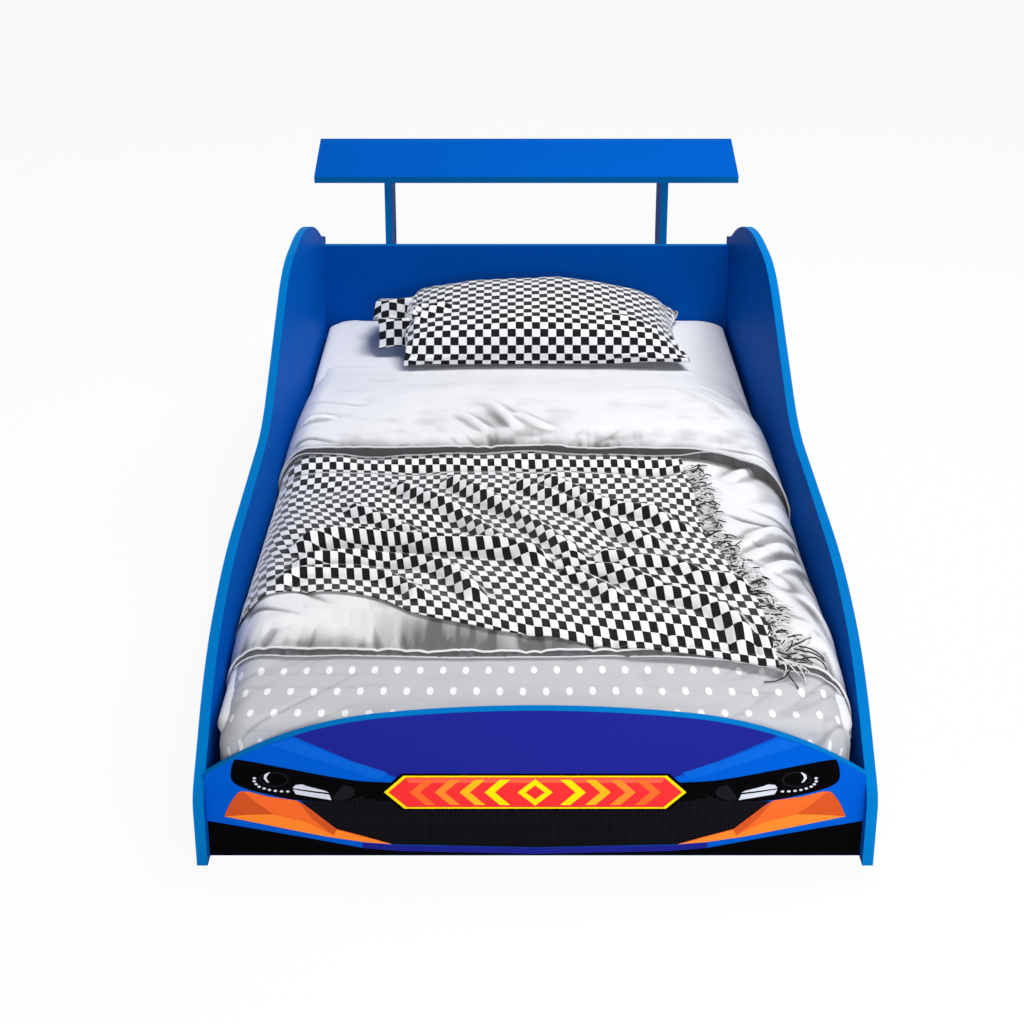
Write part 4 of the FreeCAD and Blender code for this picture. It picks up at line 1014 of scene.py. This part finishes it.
def print_piece(name, outline, layer, shade, mirror=True):
    """Flat printed area in front of the nose board. outline is (across, up) in mm; layer sets its order."""
    y = front_low.y - 0.00012 * layer
    outline = np.array(outline, float) / 1000
    shapes = [outline] + ([outline[::-1] * (-1, 1)] if mirror else [])
    points, faces = [], []
    for shape in shapes:
        faces.append(tuple(range(len(points), len(points) + len(shape))))
        points += [(x, y, z) for x, z in shape]
    mesh = bpy.data.meshes.new(name)
    mesh.from_pydata(points, [], faces)
    mesh.materials.append(shade)
    mesh.update()
    piece = bpy.data.objects.new(name, mesh)
    scene.collection.objects.link(piece)
    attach(piece, "frame")


def rounded(points):
    """Closed smooth outline through points."""
    return smooth_path(list(points) + [points[0]], 8)[:-1]


def build_print():
    ink = {
        "blue": printed("ink_blue", srgb(0, 88, 200)),
        "mid": printed("ink_mid_blue", srgb(10, 96, 205)),
        "navy": printed("ink_navy", srgb(30, 36, 138)),
        "black": printed("ink_black", (0.0015, 0.0015, 0.002, 1)),
        "coal": printed("ink_coal", (0.010, 0.010, 0.013, 1)),
        "mesh": printed("ink_mesh", (0.0015, 0.0015, 0.002, 1), (0.010, 0.010, 0.013, 1), 0.0075),
        "silver": printed("ink_silver", srgb(205, 210, 222)),
        "orange": printed("ink_orange", srgb(246, 106, 44)),
        "dark": printed("ink_dark_orange", srgb(208, 84, 36)),
        "light": printed("ink_light_orange", srgb(255, 136, 46)),
        "red": printed("ink_red", srgb(240, 50, 52)),
        "flame": printed("ink_flame", srgb(250, 96, 70)),
        "amber": printed("ink_amber", srgb(255, 180, 30)),
        "yellow": printed("ink_yellow", srgb(255, 222, 10)),
    }
    half = 449.5
    xs = np.linspace(-half, half, 90)
    ground = [(-half, 4.5)] + [(x, arch(x / 1000) * 1000 - 0.4) for x in xs] + [(half, 4.5)]
    print_piece("print_ground", ground, 1, ink["blue"], False)
    hood_top = [(x, arch(x / 1000) * 1000 - 0.4) for x in np.linspace(-327, 327, 60)]
    print_piece("print_hood", hood_top + [(230, 145), (170, 121), (-170, 121), (-230, 145)], 2, ink["navy"], False)
    print_piece("print_facet", [(-360, 180), (-327, 189.6), (-269, 162), (-200, 136), (-214, 126), (-300, 158)],
                3, ink["mid"])
    print_piece("print_base", [(-half, 4.5), (-half, 60), (-378, 46), (-315, 33), (-238, 16.6), (-186, 11.5),
                               (0, 7), (186, 11.5), (238, 16.6), (315, 33), (378, 46), (half, 60), (half, 4.5)],
                2, ink["black"], False)
    print_piece("print_lip", [(-238, 25.5), (-193, 21), (0, 17), (193, 21), (238, 25.5), (238, 16.4),
                              (186, 11.3), (0, 6.8), (-186, 11.3), (-238, 16.4)], 3, ink["navy"], False)
    print_piece("print_grille", [(-216, 122), (-170, 119), (0, 117), (170, 119), (216, 122), (268, 91),
                                 (322, 92), (313, 84), (273, 47), (196, 22), (0, 17.5), (-196, 22), (-273, 47),
                                 (-313, 84), (-322, 92), (-268, 91)], 4, ink["mesh"], False)
    print_piece("print_grille_bar", [(-216, 121), (0, 118), (216, 121), (236, 96), (150, 84), (0, 80),
                                     (-150, 84), (-236, 96)], 5, ink["black"], False)
    lamp = rounded([(-409, 153), (-400, 156.5), (-337, 143), (-285, 131.5), (-244, 124), (-216, 121), (-206, 112),
                    (-230, 103), (-246, 96), (-268, 91), (-304, 92), (-330, 94), (-364, 102), (-392, 110.5),
                    (-408, 119), (-413.5, 129), (-412, 144)])
    print_piece("print_lamp", lamp, 6, ink["black"])
    print_piece("print_lamp_trim", rounded([(-262, 117), (-250, 114), (-246, 106), (-252, 97), (-268, 92.5),
                                            (-276, 96), (-270, 106)]), 7, ink["coal"])
    centre = np.array([-355, 126])
    turn = np.linspace(0, 2 * math.pi, 33)[:-1]

    def ellipse(wide, high, middle=centre):
        return np.column_stack([wide * np.cos(turn), high * np.sin(turn)]) + middle

    print_piece("print_lens_rim", ellipse(20, 12), 7, ink["coal"])
    print_piece("print_lens", ellipse(17.5, 10), 8, ink["black"])
    shine = smooth_path([(-369, 128), (-367, 134), (-360, 137.5), (-363, 133), (-365, 128), (-362, 121),
                         (-366, 123)], 6)
    print_piece("print_lens_shine", shine, 9, ink["silver"])
    for number, (x, z) in enumerate(((-381.5, 128), (-382, 123.2), (-379.7, 118.7), (-375.7, 114.8),
                                     (-369, 111.9), (-362, 109.7), (-354, 108.2), (-345.6, 107.4),
                                     (-337, 107.2))):
        print_piece(f"print_diode_{number}", ellipse(2.4, 1.7, (x, z)), 9, ink["silver"])
    print_piece("print_beam_upper", [(-330, 113), (-326, 117.5), (-317, 118.3), (-310, 115.2), (-285.5, 108),
                                     (-281, 105), (-300, 107.5), (-328, 112)], 8, ink["silver"])
    print_piece("print_beam_lower", [(-330, 110.5), (-300, 105), (-281, 102.4), (-278, 93.5), (-304, 98.5),
                                     (-326.5, 102.8)], 8, ink["silver"])
    print_piece("print_vent", [(-426, 67.5), (-417, 88), (-407, 102.8), (-402, 106.8), (-392, 107), (-364, 98.7),
                               (-325, 92.5), (-313, 84), (-273, 47), (-234, 35), (-197, 22.6), (-234, 25.8),
                               (-288, 35), (-342, 47.6), (-395, 60)], 5, ink["orange"])
    print_piece("print_vent_side", [(-426, 67.5), (-417, 88), (-407, 102.8), (-398, 106.6), (-379, 88),
                                    (-358.6, 70.6), (-394, 70)], 6, ink["dark"])
    print_piece("print_vent_floor", [(-426, 67.5), (-394, 70), (-358.6, 70.6), (-314, 58), (-277.4, 37.1),
                                     (-272.6, 45.5), (-197, 22.6), (-234, 25.8), (-288, 35), (-342, 47.6)],
                6, ink["light"])
    print_piece("print_vent_edge", [(-325, 92.5), (-313, 84), (-273, 46.5), (-277.4, 37.1), (-305, 63)],
                7, ink["dark"])

    # Badge between the lamps: a long hexagon with arrows that point outwards from a lozenge.
    def hexagon(wide, high, cut):
        return [(-wide, 106), (-wide + cut, 106 - high), (wide - cut, 106 - high), (wide, 106),
                (wide - cut, 106 + high), (-wide + cut, 106 + high)]

    print_piece("print_badge_line", hexagon(212, 29, 30), 8, ink["black"], False)
    print_piece("print_badge_rim", hexagon(206, 26, 27), 9, ink["yellow"], False)
    print_piece("print_badge_ground", hexagon(200, 23.5, 24.5), 10, ink["red"], False)
    print_piece("print_badge_shine", [(-172, 121), (172, 121), (176, 128), (-176, 128)], 11, ink["flame"], False)
    print_piece("print_badge_lozenge", [(-24, 106), (0, 85), (24, 106), (0, 127)], 12, ink["yellow"], False)
    print_piece("print_badge_heart", [(-13, 106), (0, 95), (13, 106), (0, 117)], 13, ink["red"], False)
    for number, (x, shade) in enumerate(((-48, "yellow"), (-82, "amber"), (-116, "light"), (-150, "orange"))):
        print_piece(f"print_badge_arrow_{number}", [(x + 14, 86), (x, 86), (x - 21, 106), (x, 126), (x + 14, 126),
                                                    (x - 7, 106)], 12, ink[shade])


# ---------------------------------------------------------------- stage

def backdrop_rays(tree):
    """Socket that is 1 for the rays that show the plain backdrop: camera, glossy and transmission rays."""
    path = tree.nodes.new("ShaderNodeLightPath")
    last = path.outputs["Is Camera Ray"]
    for kind in ("Is Glossy Ray", "Is Transmission Ray"):
        either = tree.nodes.new("ShaderNodeMath")
        either.operation = "MAXIMUM"
        tree.links.new(last, either.inputs[0])
        tree.links.new(path.outputs[kind], either.inputs[1])
        last = either.outputs[0]
    return last


def build_floor():
    made, tree, shader = new_material("floor_paper", Roughness=0.9, Specular_IOR_Level=0.0)
    speck = add(tree, "TexNoise", {"Vector": object_place(tree), "Scale": 30.0, "Detail": 3.0})
    tree.links.new(mixed(tree, speck, (0.78, 0.78, 0.78, 1), (0.82, 0.82, 0.82, 1)), shader.inputs["Base Color"])
    output = tree.nodes["Material Output"]
    seen = tree.nodes.new("ShaderNodeBsdfDiffuse")
    seen.inputs["Color"].default_value = (0.05, 0.05, 0.05, 1)
    glow = tree.nodes.new("ShaderNodeEmission")
    glow.inputs["Strength"].default_value = 0.94
    both = tree.nodes.new("ShaderNodeAddShader")
    tree.links.new(seen.outputs[0], both.inputs[0])
    tree.links.new(glow.outputs[0], both.inputs[1])
    chosen = tree.nodes.new("ShaderNodeMixShader")
    tree.links.new(backdrop_rays(tree), chosen.inputs[0])
    tree.links.new(shader.outputs[0], chosen.inputs[1])
    tree.links.new(both.outputs[0], chosen.inputs[2])
    tree.links.new(chosen.outputs[0], output.inputs["Surface"])
    mesh = bpy.data.meshes.new("floor")
    mesh.from_pydata([(-30, -30, 0), (30, -30, 0), (30, 30, 0), (-30, 30, 0)], [], [(0, 1, 2, 3)])
    mesh.materials.append(made)
    floor = bpy.data.objects.new("floor", mesh)
    scene.collection.objects.link(floor)


def area_light(name, place, target, size, power):
    data = bpy.data.lights.new(name, "AREA")
    data.shape = "RECTANGLE"
    data.size, data.size_y = size
    data.energy = power
    lamp = bpy.data.objects.new(name, data)
    lamp.location = place
    aim = np.array(target) - place
    lamp.rotation_euler = (math.atan2(math.hypot(*aim[:2]), -aim[2]), 0, math.atan2(-aim[0], aim[1]))
    scene.collection.objects.link(lamp)


def build_light():
    area_light("key", (0.8, 0.5, 3.0), (0, 0.1, 0.2), (1.1, 1.6), 92)
    area_light("front", (0.4, -2.5, 1.0), (0, -0.6, 0.15), (1.4, 0.9), 31)
    world = bpy.data.worlds.new("studio")
    world.use_nodes = True
    tree = world.node_tree
    lit = tree.nodes["Background"]
    lit.inputs["Color"].default_value = (0.95, 0.97, 1, 1)
    lit.inputs["Strength"].default_value = 0.14
    seen = tree.nodes.new("ShaderNodeBackground")
    seen.inputs["Strength"].default_value = 0.96
    chosen = tree.nodes.new("ShaderNodeMixShader")
    tree.links.new(backdrop_rays(tree), chosen.inputs[0])
    tree.links.new(lit.outputs[0], chosen.inputs[1])
    tree.links.new(seen.outputs[0], chosen.inputs[2])
    tree.links.new(chosen.outputs[0], tree.nodes["World Output"].inputs["Surface"])
    scene.world = world


def build_camera():
    """Camera of the photo, solved from the boards' edges."""
    data = bpy.data.cameras.new("camera")
    data.lens = 67.74                   # 1926.85 pixels of 1024
    data.sensor_width = 36
    camera = bpy.data.objects.new("camera", data)
    camera.location = (-0.0316, -3.300, 1.4875)
    camera.rotation_euler = (math.radians(66.9), 0, 0)
    scene.collection.objects.link(camera)
    scene.camera = camera


build_mattress()
build_quilt()
build_duvet()
throw, throw_top = build_throw()
fringe = build_fringe(throw_top)
build_pillow()
build_flange()
build_print()
build_floor()
build_light()
build_camera()
scene.view_settings.view_transform = "Standard"
